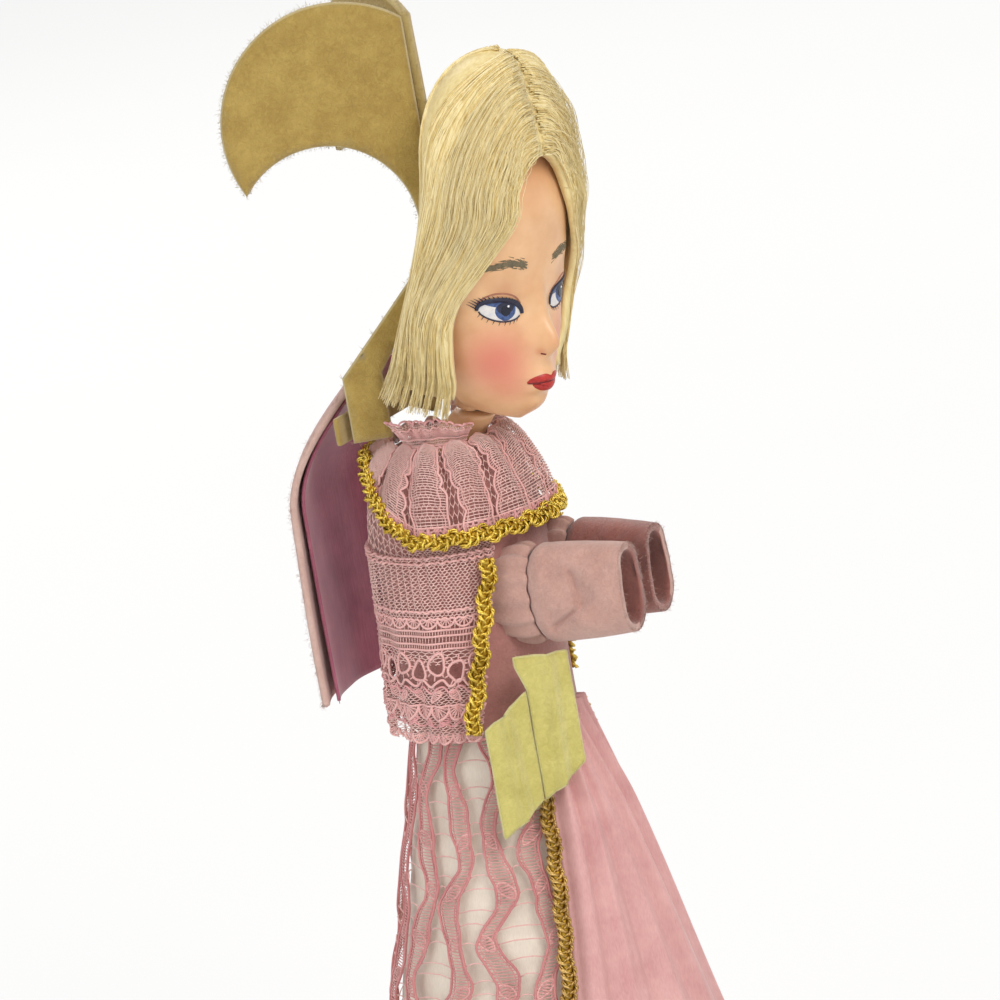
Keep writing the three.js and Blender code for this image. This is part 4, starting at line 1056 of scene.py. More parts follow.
def wing_outline():
    """The wing's edge in its own plane: the root, the notch, the tip, the arch and the stem."""
    splay = math.radians(WING_SPLAY)
    inner = (GAP / 2 + WING_FELT / 2 * math.cos(splay)) / math.sin(splay)
    stem = NOTCH_OUT - inner
    notch = stem - WING_STEM
    dx, dz = NOTCH_OUT - ARCH_OUT, NOTCH_Z - ARCH_Z
    apart = math.hypot(dx, dz)
    along = (apart ** 2 + ARCH_RADIUS ** 2 - notch ** 2) / (2 * apart)
    across = math.sqrt(ARCH_RADIUS ** 2 - along ** 2)
    tip_x = ARCH_OUT + (dx * along - dz * across) / apart
    tip_z = ARCH_Z + (dz * along + dx * across) / apart
    slant = math.radians(STEM_ANGLE)
    notch_tip = math.atan2(tip_z - NOTCH_Z, tip_x - NOTCH_OUT)
    arch_tip = math.atan2(tip_z - ARCH_Z, tip_x - ARCH_OUT)
    arch_front = math.pi - math.acos((ARCH_OUT - inner) / ARCH_RADIUS)

    def arc(x, z, radius, start, end, steps):
        angle = np.linspace(start, end, steps)
        return np.stack([x + radius * np.cos(angle), z + radius * np.sin(angle)], axis=-1)

    def line(start, end, steps):
        return lerp(np.array(start), np.array(end), np.linspace(0, 1, steps, endpoint=False)[:, None])

    notch_arc = arc(NOTCH_OUT, NOTCH_Z, notch, slant, notch_tip, 70)
    arch_arc = arc(ARCH_OUT, ARCH_Z, ARCH_RADIUS, arch_tip, arch_front, 90)
    stem_arc = arc(NOTCH_OUT, NOTCH_Z, stem, math.pi, slant, 24)
    root_in = ROOT_OUT - ROOT_WIDTH
    pieces = [
        line((ROOT_OUT, ROOT_Z), (ROOT_OUT, ROOT_TOP_Z), 10),
        line((ROOT_OUT, ROOT_TOP_Z), notch_arc[0], 6), notch_arc, arch_arc[1:],
        line(arch_arc[-1], stem_arc[0], 16)[1:], stem_arc,
        line(stem_arc[-1], (root_in, ROOT_TOP_Z), 6)[1:],
        line((root_in, ROOT_TOP_Z), (root_in, ROOT_Z), 10),
        line((root_in, ROOT_Z), (ROOT_OUT, ROOT_Z), 6),
    ]
    return np.vstack(pieces)


def wings():
    """Flat felt wings, their cut edge and loose fibres painted paler as a highlight."""
    edge = wing_outline()
    rim = len(edge)
    inside = []
    for s in np.arange(0, 26, WING_GRID):
        for z in np.arange(97, 149, WING_GRID):
            inside.append((s + 0.5 * (round(z / WING_GRID) % 2), z))
    inside = np.array([p for p in inside if within(p, edge, 0.5)])
    flat = [Vector(p) for p in np.vstack([edge, inside])]
    points, _, triangles, *_ = delaunay_2d_cdt(flat, [], [list(range(rim))], 1, 1e-5)
    plane = np.array([tuple(p) for p in points])
    count = len(plane)
    tangent = tangents(edge, loop=True)
    away = np.stack([tangent[:, 1], -tangent[:, 0]], axis=-1)
    if not within(edge[20] - away[20] * 0.3, edge, 0):
        away = -away
    drawn = plane.copy()
    drawn[:rim] -= away * 0.16
    bulged = edge + away * 0.04
    splay = math.radians(WING_SPLAY)
    way = np.array([-math.sin(splay), math.cos(splay), 0.0])
    face = np.array([math.cos(splay), math.sin(splay), 0.0])
    apex = np.array([0.0, -WING_APEX, 0.0])
    faces = [list(f) for f in triangles] + [[i + count for i in f][::-1] for f in triangles]
    sides = len(faces)
    middle = 2 * count
    for a in range(rim):
        b = (a + 1) % rim
        faces.append([a, b, middle + b, middle + a])
        faces.append([middle + a, middle + b, count + b, count + a])
    kinds = [0] * sides + [1] * (len(faces) - sides)
    for name, mirror in SIDES:
        flip = np.array([mirror, 1, 1])

        def place(flat_points, depth, flip=flip):
            out, height = flat_points[:, :1], flat_points[:, 1:]
            warp = 0.08 * np.sin(out * 0.5 + height * 0.31) * smooth(height, 108, 130)
            return (apex + out * way + height * UP + face * (depth + warp)) * flip

        cut = place(bulged, 0)
        points = np.vstack([place(drawn, WING_FELT / 2), place(drawn, -WING_FELT / 2), cut])
        add_piece(
            f"felt_wing_{name}", points, faces, [MUSTARD_FELT, MUSTARD_EDGE_HIGHLIGHT],
            "wings", [f"{name}_wing"], kinds, closed=True,
        )
        out = (away[:, :1] * way + away[:, 1:] * UP) * flip
        fuzz(f"wing_fuzz_{name}", cut, out, 1100, 0.34, MUSTARD_EDGE_HIGHLIGHT, "wings", "mustard_felt")
    wing_bridge()


def within(point, edge, margin):
    """True if a point is inside an outline by at least a margin."""
    x, z = point
    following = np.roll(edge, -1, axis=0)
    crosses = (edge[:, 1] > z) != (following[:, 1] > z)
    step = np.where(following[:, 1] == edge[:, 1], 1e-9, following[:, 1] - edge[:, 1])
    at = edge[:, 0] + (z - edge[:, 1]) / step * (following[:, 0] - edge[:, 0])
    inside = bool((crosses & (x < at)).sum() % 2)
    return inside and (margin == 0 or np.linalg.norm(edge - point, axis=1).min() > margin)


# Lace, thread by thread


def net(made, surface, columns, rows, span, radius):
    """Net of upright threads that bend to meet their neighbours in turn."""
    t = np.linspace(*span, rows * 6 + 1)
    wave = np.clip(1.5 * np.sin(np.linspace(0, rows, rows * 6 + 1) * math.pi), -1, 1)
    for k in range(columns):
        made.on(surface, (k + 0.5 + 0.5 * (-1) ** k * wave) / columns, t, radius, sides=4, kind=1)


def rail(made, surface, height, radius, waves=0, depth=0.0, steps=400, lift=0.0, kind=0):
    """A cord along a surface, straight or in waves."""
    t = height + depth * np.sin(np.linspace(0, waves * TAU, steps))
    made.on(surface, np.linspace(0, 1, steps), t, radius, lift=lift, kind=kind)


def ladder(made, surface, low, high, rungs, radius, lift=0.0, kind=1):
    """Upright rungs between two heights."""
    for s in (np.arange(rungs) + 0.5) / rungs:
        made.on(surface, np.full(3, s), np.linspace(low, high, 3), radius, lift=lift, sides=4, kind=kind)


def scallops(made, surface, count, base, depth, radius, rays, lift=0.0, kind=0):
    """Arcs along an edge, with rays from the middle of each."""
    width = 1 / count
    for k in range(count):
        middle = (k + 0.5) * width
        angle = np.linspace(0, math.pi, 15)
        s, t = middle - width / 2 * np.cos(angle), base - depth * np.sin(angle)
        made.on(surface, s, t, radius, lift=lift, kind=kind)
        for turn in np.linspace(0, math.pi, rays + 2)[1:-1]:
            reach = np.linspace(0.12, 1, 4)
            s, t = middle - width / 2 * np.cos(turn) * reach, base - depth * np.sin(turn) * reach
            made.on(surface, s, t, radius * 0.55, lift=lift, sides=4, kind=kind)


def eyelets(made, surface, count, height, half, radius, lift):
    """Oval holes with a corded edge and short spokes to their neighbours."""
    width = 1 / count
    for k in range(count):
        middle = (k + 0.5) * width
        rise = height + half * 0.35 * (-1) ** k
        angle = np.linspace(0, TAU, 22, endpoint=False)
        bent = 1 + 0.12 * np.sin(3 * angle + k)
        s, t = middle + 0.4 * width * bent * np.cos(angle), rise + half * bent * np.sin(angle)
        made.on(surface, s, t, radius, lift=lift, loop=True)
        for turn in np.linspace(0, TAU, 9, endpoint=False) + 0.3 * k:
            reach = np.linspace(1, 1.55, 3)
            s, t = middle + 0.4 * width * np.cos(turn) * reach, rise + half * np.sin(turn) * reach
            made.on(surface, s, t, radius * 0.6, lift=lift, sides=4)


def leaf(made, surface, s, t, along, wide, lean, radius, kind=0):
    """A satin-stitch leaf: a corded edge filled with close threads."""
    angle = np.linspace(0, TAU, 18, endpoint=False)
    cos, sin = math.cos(lean), math.sin(lean)

    def spread(u, v):
        return s + wide * (u * cos - v * sin), t + along * (u * sin + v * cos)

    edge = spread(0.5 * np.sin(angle) * np.abs(np.cos(angle / 2)) ** 0.4, np.cos(angle))
    made.on(surface, *edge, radius, loop=True, lift=0.06, kind=kind)
    for v in np.linspace(-0.75, 0.75, 6):
        half = 0.46 * math.sqrt(1 - v * v)
        stitch = spread(np.linspace(-half, half, 3), np.full(3, v))
        made.on(surface, *stitch, radius * 0.9, lift=0.04, sides=4, kind=kind)


def overskirt_face(s, t):
    z = lerp(HEM_Z, SKIRT_TOP_Z, t)
    edge = opening_angle(z)
    around = lerp(edge, TAU - edge, s)
    flute = flute_spread(z) * (1 + np.cos(FLUTES * around)) / 2
    return polar(around, overskirt_radius(z) + flute + LACE / 2, z)


def tape_middle(at, k):
    """The middle of a tape of the skirt's lace at a height. Neighbours sway to and from each other."""
    sway = np.sin(SKIRT_WAVE * at + math.pi * k + 1.3 * np.sin(6 * at + 1.7 * k))
    return (k + 0.5 + 0.21 * (sway + 0.3 * np.sin(57 * at + 2.3 * k))) / SKIRT_TAPES


def tape_half(at, k):
    return (0.2 + 0.05 * np.sin(41 * at + 2.1 * k) + 0.03 * np.abs(np.sin(75 * at + k))) / SKIRT_TAPES


def skirt_lace():
    """Tapes of lace that sway down the skirt, corded and laddered, and tied to each other."""
    made = Threads()
    face = overskirt_face
    t = np.linspace(0.03, 0.985, 230)
    across = np.linspace(-1, 1, 5)
    arch = 0.05 + 0.12 * (1 - across ** 2)
    for k in range(SKIRT_TAPES):
        middle, half = tape_middle(t, k), tape_half(t, k)
        for side in (-1, 1):
            made.on(face, middle + side * half, t, 0.17, lift=0.12, kind=2)
            made.on(face, middle + side * 0.66 * half, t, 0.09, lift=0.06, sides=4)
        for at in np.arange(0.035, 0.98, 0.0052):
            lean = rng.uniform(-0.0015, 0.0015)
            s = tape_middle(at, k) + across * tape_half(at, k)
            made.on(face, s, at + lean * across, 0.075, lift=arch, sides=4)
        for at in np.arange(0.05, 0.97, 0.085):
            wide = 1.5 * float(tape_half(at, k))
            leaf(made, face, float(tape_middle(at, k)), at, 0.016, wide, 0.5 * (-1) ** k, 0.11, kind=1)
        if k < SKIRT_TAPES - 1:
            for at in np.arange(0.04, 0.97, 0.03):
                at = at + rng.uniform(-0.008, 0.008)
                start = float(tape_middle(at, k) + tape_half(at, k))
                end = float(tape_middle(at, k + 1) - tape_half(at, k + 1))
                tie = at + np.array([0, 0.005, 0.005, 0])
                made.on(face, np.linspace(start, end, 4), tie, 0.075, sides=4, kind=1)
    for side in (0.002, 0.998):
        made.on(face, np.full(230, side), t, 0.2, kind=2)
    scallops(made, face, 44, 0.03, 0.022, 0.2, 5, kind=2)
    rail(made, face, 0.03, 0.2)
    rail(made, face, 0.985, 0.24, steps=300)
    materials = [SKIRT_LACE, LACE_PINK, SKIRT_CORD]
    skirt = made.piece("skirt_lace", materials, "figure", "pink_lace", ["lace_overskirt"])
    declare(face, fullness=SKIRT_FULLNESS)


def heading_pleats(around):
    return np.cos(58 * around + 2 * np.sin(7 * around))


def capelet_face(s, t):
    z = lerp(CAPELET_HEM_Z, CAPELET_TOP_Z, t)
    edge = capelet_angle(z)
    around = lerp(edge, TAU - edge, s)
    ripple = CAPELET_RIPPLE_DEPTH * (1 + np.cos(CAPELET_RIPPLES * around)) * (1 - t)
    pleat = 0.2 * heading_pleats(around) * smooth(t, 0.6, 0.8)
    frill = 0.22 * np.sin(44 * around + 3 * np.sin(5 * around)) * (1 - smooth(t, 0.1, 0.55))
    return polar(around, capelet_radius(z) + ripple + LACE / 2 + pleat + frill, z)


def yoke_face(s, t):
    """The capelet's pleated heading, from its top edge over the shoulder to the collar's braid."""
    around = lerp(rad(CAPELET_TOP), TAU - rad(CAPELET_TOP), s)
    low = math.asin((CAPELET_TOP_Z - 0.6 - SHOULDER_Z) / (NECK_Z - SHOULDER_Z + YOKE_DEPTH))
    pleat = 0.16 * heading_pleats(around)
    return torso_point(around, lerp(low, collar_edge(around), t), YOKE_DEPTH + pleat)


def bolero_lace():
    """Pleated heading, a ladder band, a row of large holes and two scalloped flounces."""
    heading = Threads()
    net(heading, yoke_face, 200, 9, (0.0, 1.0), 0.06)
    for height in (0.02, 0.98):
        rail(heading, yoke_face, height, 0.12, steps=500)
    yoke = heading.piece("bolero_heading", LACES, "figure", "pink_lace")
    made = Threads()
    face = capelet_face
    net(made, face, 200, 22, (0.66, 0.985), 0.06)
    net(made, face, 150, 24, (0.0, 0.3), 0.055)
    for height in (0.985, 0.955, 0.7, 0.66):
        rail(made, face, height, 0.14, waves=58, depth=0.004, steps=700, lift=0.08)
    for height in (0.6, 0.57, 0.53, 0.5):
        rail(made, face, height, 0.13, lift=0.05)
    ladder(made, face, 0.57, 0.6, 150, 0.06)
    ladder(made, face, 0.5, 0.53, 150, 0.06)
    ladder(made, face, 0.6, 0.66, 90, 0.07)
    ladder(made, face, 0.53, 0.57, 120, 0.055)
    scallops(made, face, 24, 0.66, 0.045, 0.13, 5, lift=0.12)
    eyelets(made, face, 20, 0.4, 0.055, 0.16, lift=0.05)
    net(made, face, 90, 5, (0.42, 0.5), 0.06)
    rail(made, face, 0.32, 0.16, waves=20, depth=0.018, lift=0.1)
    rail(made, face, 0.285, 0.12, waves=20, depth=0.018, lift=0.1, kind=2)
    scallops(made, face, 22, 0.2, 0.075, 0.16, 9, lift=0.16)
    rail(made, face, 0.2, 0.14, steps=300, lift=0.12)
    rail(made, face, 0.1, 0.12, waves=22, depth=0.015, kind=2)
    scallops(made, face, 26, 0.05, 0.05, 0.15, 7, lift=0.05)
    for k in range(20):
        lean = 0.6 * (-1) ** k
        leaf(made, face, (k + 0.5) / 20, 0.25, 0.035, 0.022, lean, 0.11)
        leaf(made, face, (k + 1) / 20.5, 0.12, 0.03, 0.02, -lean, 0.11, kind=2)
    bolero = made.piece("bolero_lace", LACES, "figure", "pink_lace", ["lace_capelet"])
    declare(face)


def collar_face(s, t):
    """Lace round the shoulders in deep folds, each steeper on one side."""
    around = s * TAU
    over = lerp(collar_edge(around), rad(COLLAR_TOP), t)
    turn = GATHERS * around + 0.5 * np.sin(3 * around)
    gather = GATHER_DEPTH * (1.5 * np.cos(turn + 0.5 * np.sin(turn)) - 0.35 * np.cos(2 * turn))
    crimp = 0.1 * np.sin(53 * around + 4 * t)
    within_edges = np.clip(t, 0, 1)
    flare = 0.55 * (1 - within_edges) ** 2
    full = 0.4 + 0.6 * np.sin(math.pi * within_edges)
    return torso_point(around, over, COLLAR_DEPTH + LACE / 2 + flare + (gather + crimp) * full)


def collar_lace():
    """Lace gathered round the neck: wavy corded tapes with ladder threads on the folds, net between."""
    made = Threads()
    face = collar_face
    net(made, face, 230, 12, (0.02, 0.98), 0.05)
    t = np.linspace(0.03, 0.96, 110)
    for k in range(GATHERS):
        angle = (TAU * k - 0.5 * math.sin(3 * TAU * k / GATHERS)) / GATHERS
        centre = angle / TAU + 0.09 / GATHERS * np.sin(5 * t + 1.7 * k)

        def edge(at, side, k=k):
            scallop = 0.08 * np.abs(np.sin(17 * at + 1.1 * k + side)) + 0.06 * np.sin(6 * at + 2 * k)
            return side * (0.27 + scallop + (0.14 if side < 0 else 0)) / GATHERS

        def stand(at, u, k=k):
            free = smooth(at, 0.02, 0.25) * (1 - smooth(at, 0.8, 1.0))
            return 0.1 + PETAL_LIFT * free * (0.75 + 0.25 * np.sin(9 * at + k)) * u ** 2

        for side, u in ((-1, 1.0), (1, 0.0)):
            made.on(face, centre + edge(t, side), t, 0.13, lift=stand(t, u) + 0.04)
            lift = stand(t, 0.82 * u + 0.06)
            made.on(face, centre + 0.74 * edge(t, side), t, 0.07, lift=lift, sides=4)
        u = np.linspace(1, 0, 9)
        for at in np.linspace(0.05, 0.94, 40):
            middle = angle / TAU + 0.09 / GATHERS * math.sin(5 * at + 1.7 * k)
            across = lerp(float(edge(at, 1)), float(edge(at, -1)), u)
            made.on(face, middle + across, np.full(9, at), 0.055, lift=stand(at, u), sides=4, kind=1)
    scallops(made, face, 3 * GATHERS, 0.1, 0.09, 0.13, 5, lift=0.16, kind=2)
    rail(made, face, 0.1, 0.11, steps=500, lift=0.1)
    rail(made, face, 0.02, 0.12, steps=500)
    rail(made, face, 0.97, 0.16, waves=40, depth=0.012, steps=700)
    return made.piece("collar_lace", LACES, "figure", "pink_lace", ["lace_collar"])


def frill_face(side):
    """A lace edge that stands up beside the neck, out of the collar."""
    foot = SHOULDER_Z + (NECK_Z - SHOULDER_Z + COLLAR_SKIN) * math.sin(math.radians(COLLAR_TOP)) + GAP

    def face(s, t):
        along = s if side > 0 else 1 - s
        around = side * rad(lerp(FRILL_FRONT, FRILL_BACK, along))
        rise = lerp(FRILL_LOW, FRILL_RISE, smooth(along, 0, 0.5))
        reach = np.clip(t, 0, 1)
        turn = FRILL_GATHERS * around
        gather = (0.45 * np.cos(turn) + 0.35 * np.cos(2 * turn + 1)) * reach
        radius = NECK_RADIUS + LACE / 2 + FRILL_FLARE * reach ** 1.4 + gather
        return polar(around, radius, lerp(foot - FRILL_TUCK, foot + rise, t))

    return face


def frills():
    """The collar and its two standing edges."""
    angle = np.linspace(0, math.pi, 11)
    width = 1 / FRILL_SCALLOPS
    for name, side in SIDES:
        made = Threads()
        face = frill_face(side)
        net(made, face, 90, 10, (0.0, 0.86), 0.05)
        rail(made, face, 0.03, 0.12, steps=200)
        rail(made, face, 0.68, 0.12, waves=FRILL_SCALLOPS, depth=0.04, steps=260, lift=0.05)
        ladder(made, face, 0.32, 0.64, 80, 0.055, lift=0.05, kind=0)
        rail(made, face, 0.3, 0.1, steps=200, lift=0.05)
        for k in range(FRILL_SCALLOPS):
            s = (k + 0.5) * width - width / 2 * np.cos(angle)
            made.on(face, s, 0.86 + 0.14 * np.sin(angle), 0.12, kind=2)
        made.piece(f"frill_lace_{name}", LACES, "figure", "pink_lace", [f"lace_frill_{name}"])
    collar = collar_lace()
    declare(
        collar_face,
        fullness=COLLAR_FULLNESS,
    )


# Head: painted celluloid face and floss hair

HEAD_PIVOT = np.array([
    0.0, HEAD_AXIS_BACK * math.cos(math.radians(HEAD_BOW)) - HEAD_FORWARD,
    HEAD_Z + HEAD_AXIS_BACK * math.sin(math.radians(HEAD_BOW)),
])
# Swellings of the face: side, height, depth, half width and half height
FEATURES = (
    (0, -7.2, 2.5, 1.5, 2.2), (0, -4, 0.9, 1.2, 3), (0, -11.5, 1.3, 4.6, 4), (0, -11.6, 1.3, 2.4, 1.3),
    (0, -15, 1.1, 2.6, 1.8), (5, -8, 0.5, 2.6, 3.4), (4, -3.6, -0.5, 2, 1.5),
)
DETAILS = (
    (1.35, -7.7, 0.45, 0.75, 0.8), (0, -9.6, -0.12, 0.5, 1.0), (0, -11.75, -0.35, 2.2, 0.3),
    (0, -12.7, 0.2, 1.4, 0.5), (0, -13.5, -0.25, 1.8, 0.5), (4.6, -1.9, 0.22, 2.2, 0.5),
    (4.5, -3.9, 0.3, 1.7, 1.0), (3.9, 1.4, 0.25, 2.6, 0.9),
)
EYE_SIDE, EYE_HEIGHT, GAZE = 4.7, -3.7, -0.5
BROW_HEIGHT, NOSTRIL_HEIGHT, LIP_HEIGHT = 1.0, -8.55, -11.7
PARTING_FRONT, CROWN_SHARE, FRONT_HAIR_END, BACK_HAIR_START = 15, 0.4, 0.499, 0.501
HAIR_FLAT = np.array([0.25, 0.9, 0.35])
NECK_POINTS, NECK_BORE = 40, 1.0
NECK_PROFILE = [(-17.3, 2.3), (-17.1, 2.5), (-14.4, 2.6), (-14.0, 2.3), (-13.8, 1.55), (-4.0, 1.55)]


def head_place(points):
    """From the head's own frame to the row frame, in millimetres."""
    turn, bow = math.radians(-HEAD_TURN), math.radians(HEAD_BOW)
    x, y, z = points[..., 0], points[..., 1] - HEAD_AXIS_BACK, points[..., 2]
    x, y = x * math.cos(turn) - y * math.sin(turn), x * math.sin(turn) + y * math.cos(turn)
    y, z = y * math.cos(bow) - z * math.sin(bow), y * math.sin(bow) + z * math.cos(bow)
    return np.stack([x, y, z], axis=-1) + HEAD_PIVOT


def face_half_width(c):
    below = c < FACE_WIDEST
    reach = np.where(below, FACE_WIDEST - CHIN, MASK_TOP - FACE_WIDEST)
    t = np.minimum(np.abs(c - FACE_WIDEST) / reach, 1)
    return lerp(FACE_EDGE, FACE_HALF_WIDTH, np.sqrt(1 - t ** np.where(below, 2.1, 2.4)))


def face_depth(c):
    jaw = smooth(c, CHIN - CHIN_UNDERCUT, CHIN + JAW_HEIGHT)
    return FACE_DEPTH * jaw * (1 - 0.75 * smooth(c, 5.5, 18.5))


def relief(a, c, marks):
    total = 0
    for side, height, out, wide, tall in marks:
        total = total + out * np.exp(-(((np.abs(a) - side) / wide) ** 2) - ((c - height) / tall) ** 2)
    return total


def face_point(a, c):
    """The face's surface at a distance to the figure's right and a height."""
    width = face_half_width(c)
    turn = np.arcsin(np.clip(a / width, -1, 1))
    raised = relief(a, c, FEATURES) + relief(a, c, DETAILS)
    b = face_depth(c) * np.cos(turn) + raised * smooth(np.cos(turn), 0, 0.5)
    return head_place(np.stack([-a, -b, np.broadcast_to(c, np.shape(b))], axis=-1))


def skin_look():
    """Celluloid: a warm, slightly translucent skin with sprayed cheeks, nose and hairline, and painted
    shade over the lids.
    """
    look = Finish("skin", roughness=0.36, specular_ior_level=0.5, subsurface_weight=0.12, coat_weight=0.12)
    look.shader.inputs["Subsurface Radius"].default_value = (1.2 * MM, 0.6 * MM, 0.35 * MM)
    look.shader.inputs["Coat Roughness"].default_value = 0.25
    tone = look.noise(4, detail=3)
    colour = look.ramp(tone, [(0.3, (216, 166, 121)), (0.7, (229, 186, 142))])
    blush, warm, shade = srgb(210, 106, 95), srgb(202, 124, 78), srgb(178, 114, 78)
    sprays = [(0, -6.9, 2.4, 0.35, warm), (0, -15.5, 2.6, 0.3, warm), (0, 12, 8, 0.35, warm)]
    paired = [(5.2, -9.4, 6.2, 0.8, blush), (3.4, -12.6, 3.2, 0.3, blush)]
    # shade is a painted shade over each upper lid, below the brow.
    paired += [(4.7, -1.6, 2.9, 0.5, shade), (1.3, -8.2, 0.9, 0.6, warm)]
    sprays = [(side * a, *spray) for side in (1, -1) for a, *spray in paired] + sprays
    for a, c, radius, strength, tint in sprays:
        centre = face_point(np.array(float(a)), np.array(float(c)))
        speckle = look.math("ADD", look.math("MULTIPLY", tone, 0.5), 0.72)
        speckle = look.math("MULTIPLY", look.spot(centre, radius), speckle)
        colour = look.mix(look.math("MULTIPLY", speckle, strength), colour, tint)
    look.colour(colour)
    look.bump(look.noise(1.5, detail=2), 0.05, 0.1)
    return look.material


SKIN = skin_look()


def mask():
    """The moulded face, closed by a flat back."""
    c = np.linspace(CHIN + 0.02, MASK_TOP - 0.02, 150)[:, None]
    turn = np.linspace(-math.pi / 2, math.pi / 2, 130)[None, :]
    a = face_half_width(c) * np.sin(turn)
    c = np.broadcast_to(c, a.shape)
    rear = head_place(np.stack([-a, np.zeros_like(a), c], axis=-1))
    points, faces = double_shell(face_point(a, c), rear)
    add_piece("celluloid_face", points, faces, SKIN, "head", ["face_mask"], closed=True)


def face_normal(a, c, step=0.05):
    across = face_point(a + step, c) - face_point(a - step, c)
    along = face_point(a, c + step) - face_point(a, c - step)
    return unit(np.cross(along, across))


def decal(name, centre, outline, lift, material, rings=7):
    """A painted patch on the face inside an outline round a centre."""
    count = len(outline)
    flat = np.vstack([[centre]] + [np.array(centre) + outline * k / rings for k in range(1, rings + 1)])
    height = np.full(len(flat), lift)
    height[-count:] = lift * 0.15
    a, c = flat.T
    points = face_point(a, c) + face_normal(a, c) * height[:, None]
    faces = [[0, 1 + k, 1 + (k + 1) % count] for k in range(count)]
    faces += grid_faces(rings, count, ring=True, start=1)[:, [0, 3, 2, 1]].tolist()
    add_piece(name, points, faces, material, "head")


def stroke(made, a, c, radius, lift=0.02, **shape):
    """A painted line on the face."""
    a, c = np.asarray(a, dtype=float), np.asarray(c, dtype=float)
    out = face_normal(a, c)
    made.add(face_point(a, c) + out * lift, out, radius, flat=0.3, sides=6, **shape)


def almond(side, wide, high, low, turn):
    """An eye's outline, round above and flatter below, with its outer corner raised."""
    u = side * wide * np.cos(turn)
    v = np.where(np.sin(turn) > 0, high * np.abs(np.sin(turn)) ** 0.85, -low * np.abs(np.sin(turn)) ** 1.1)
    return np.stack([u, v + 0.16 * side * u], axis=-1)


def eye(name, side):
    """A painted eye: white, painted shade under the upper lid, iris, pupil, a painted highlight for its
    glint, lashes and the lid's fold in painted shade.
    """
    turn = np.linspace(0, TAU, 48, endpoint=False)
    circle = np.stack([np.cos(turn), np.sin(turn)], axis=-1)
    middle = np.array([side * EYE_SIDE, EYE_HEIGHT])
    gaze = middle + (GAZE, 0.12)
    decal(f"eye_white_{name}", middle, almond(side, 2.25, 1.3, 0.95, turn), 0.03, EYE_WHITE)
    # A blue band along the top of the eye: painted shade under the upper lid.
    decal(f"painted_lid_shade_{name}", middle + (0, 0.85), almond(side, 2.05, 0.45, 0.4, turn), 0.045, IRIS)
    decal(f"iris_{name}", gaze, circle * (1.3, 1.12), 0.06, IRIS)
    decal(f"iris_rim_{name}", gaze + (0, 0.3), circle * (1.15, 0.75), 0.075, LASH)
    decal(f"pupil_{name}", gaze, circle * 0.66, 0.09, PUPIL)
    # A painted highlight for the eye's glint.
    decal(f"glint_{name}", gaze + (-0.34, 0.42), circle * 0.17, 0.11, PAINTED_EYE_HIGHLIGHT, rings=3)
    lids = Threads()
    lid = almond(side, 2.4, 1.45, 1.0, np.linspace(math.pi * 1.02, -0.05, 30)) + middle
    stroke(lids, *lid.T, 0.22 + 0.14 * np.sin(np.linspace(0, math.pi, 30)), lift=0.1)
    rim = almond(side, 2.25, 1.4, 1.05, np.linspace(math.pi * 1.1, math.pi * 1.95, 24)) + middle
    stroke(lids, *rim.T, 0.09, lift=0.05)
    steps = np.linspace(0, 1, 6)
    for k, spin in enumerate(np.linspace(2.75, 0.0, 17)):
        root = almond(side, 2.35, 1.42, 1.0, spin) + middle
        reach = 0.55 + 0.5 * k / 16
        lean = side * (0.55 * math.cos(spin) + 0.25)
        a = root[0] + lean * reach * steps ** 1.2
        c = root[1] + reach * (0.75 * steps - 0.12 * steps ** 2)
        stroke(lids, a, c, 0.085, lift=0.08, taper=0.85)
    steps = np.linspace(0, 1, 4)
    for spin in np.linspace(3.7, 5.9, 9):
        root = almond(side, 2.25, 1.4, 1.1, spin) + middle
        stroke(lids, root[0] + side * 0.2 * steps, root[1] - 0.42 * steps, 0.05, lift=0.04, taper=0.8)
    lids.piece(f"lashes_{name}", LASH, "head", "celluloid")
    # The lid's fold: a line of painted shade along its crease.
    fold = Threads()
    crease = almond(side, 2.5, 2.15, 1.0, np.linspace(2.7, 0.25, 24)) + middle
    stroke(fold, *crease.T, 0.11, lift=0.01)
    fold.piece(f"lid_fold_{name}", PAINTED_CREASE_SHADE, "head", "celluloid")


def brow(name, side):
    """Short strokes along a low arch."""
    made = Threads()
    steps = np.linspace(0, 1, 4)
    for _ in range(BROW_STROKES):
        at = rng.uniform(0, 1)
        arch = math.pi * (0.1 + 0.75 * at)
        rise = 0.75 * math.sin(arch) + rng.normal(0, 0.26) * (1 - 0.45 * at)
        slope = 0.55 * math.cos(arch) + rng.normal(0.1, 0.15)
        a = side * (2.0 + 4.6 * at + 0.6 * steps)
        stroke(made, a, BROW_HEIGHT + rise + slope * 0.5 * steps, 0.05, lift=0.015, taper=0.7)
    made.piece(f"brow_{name}", BROW, "head", "celluloid")


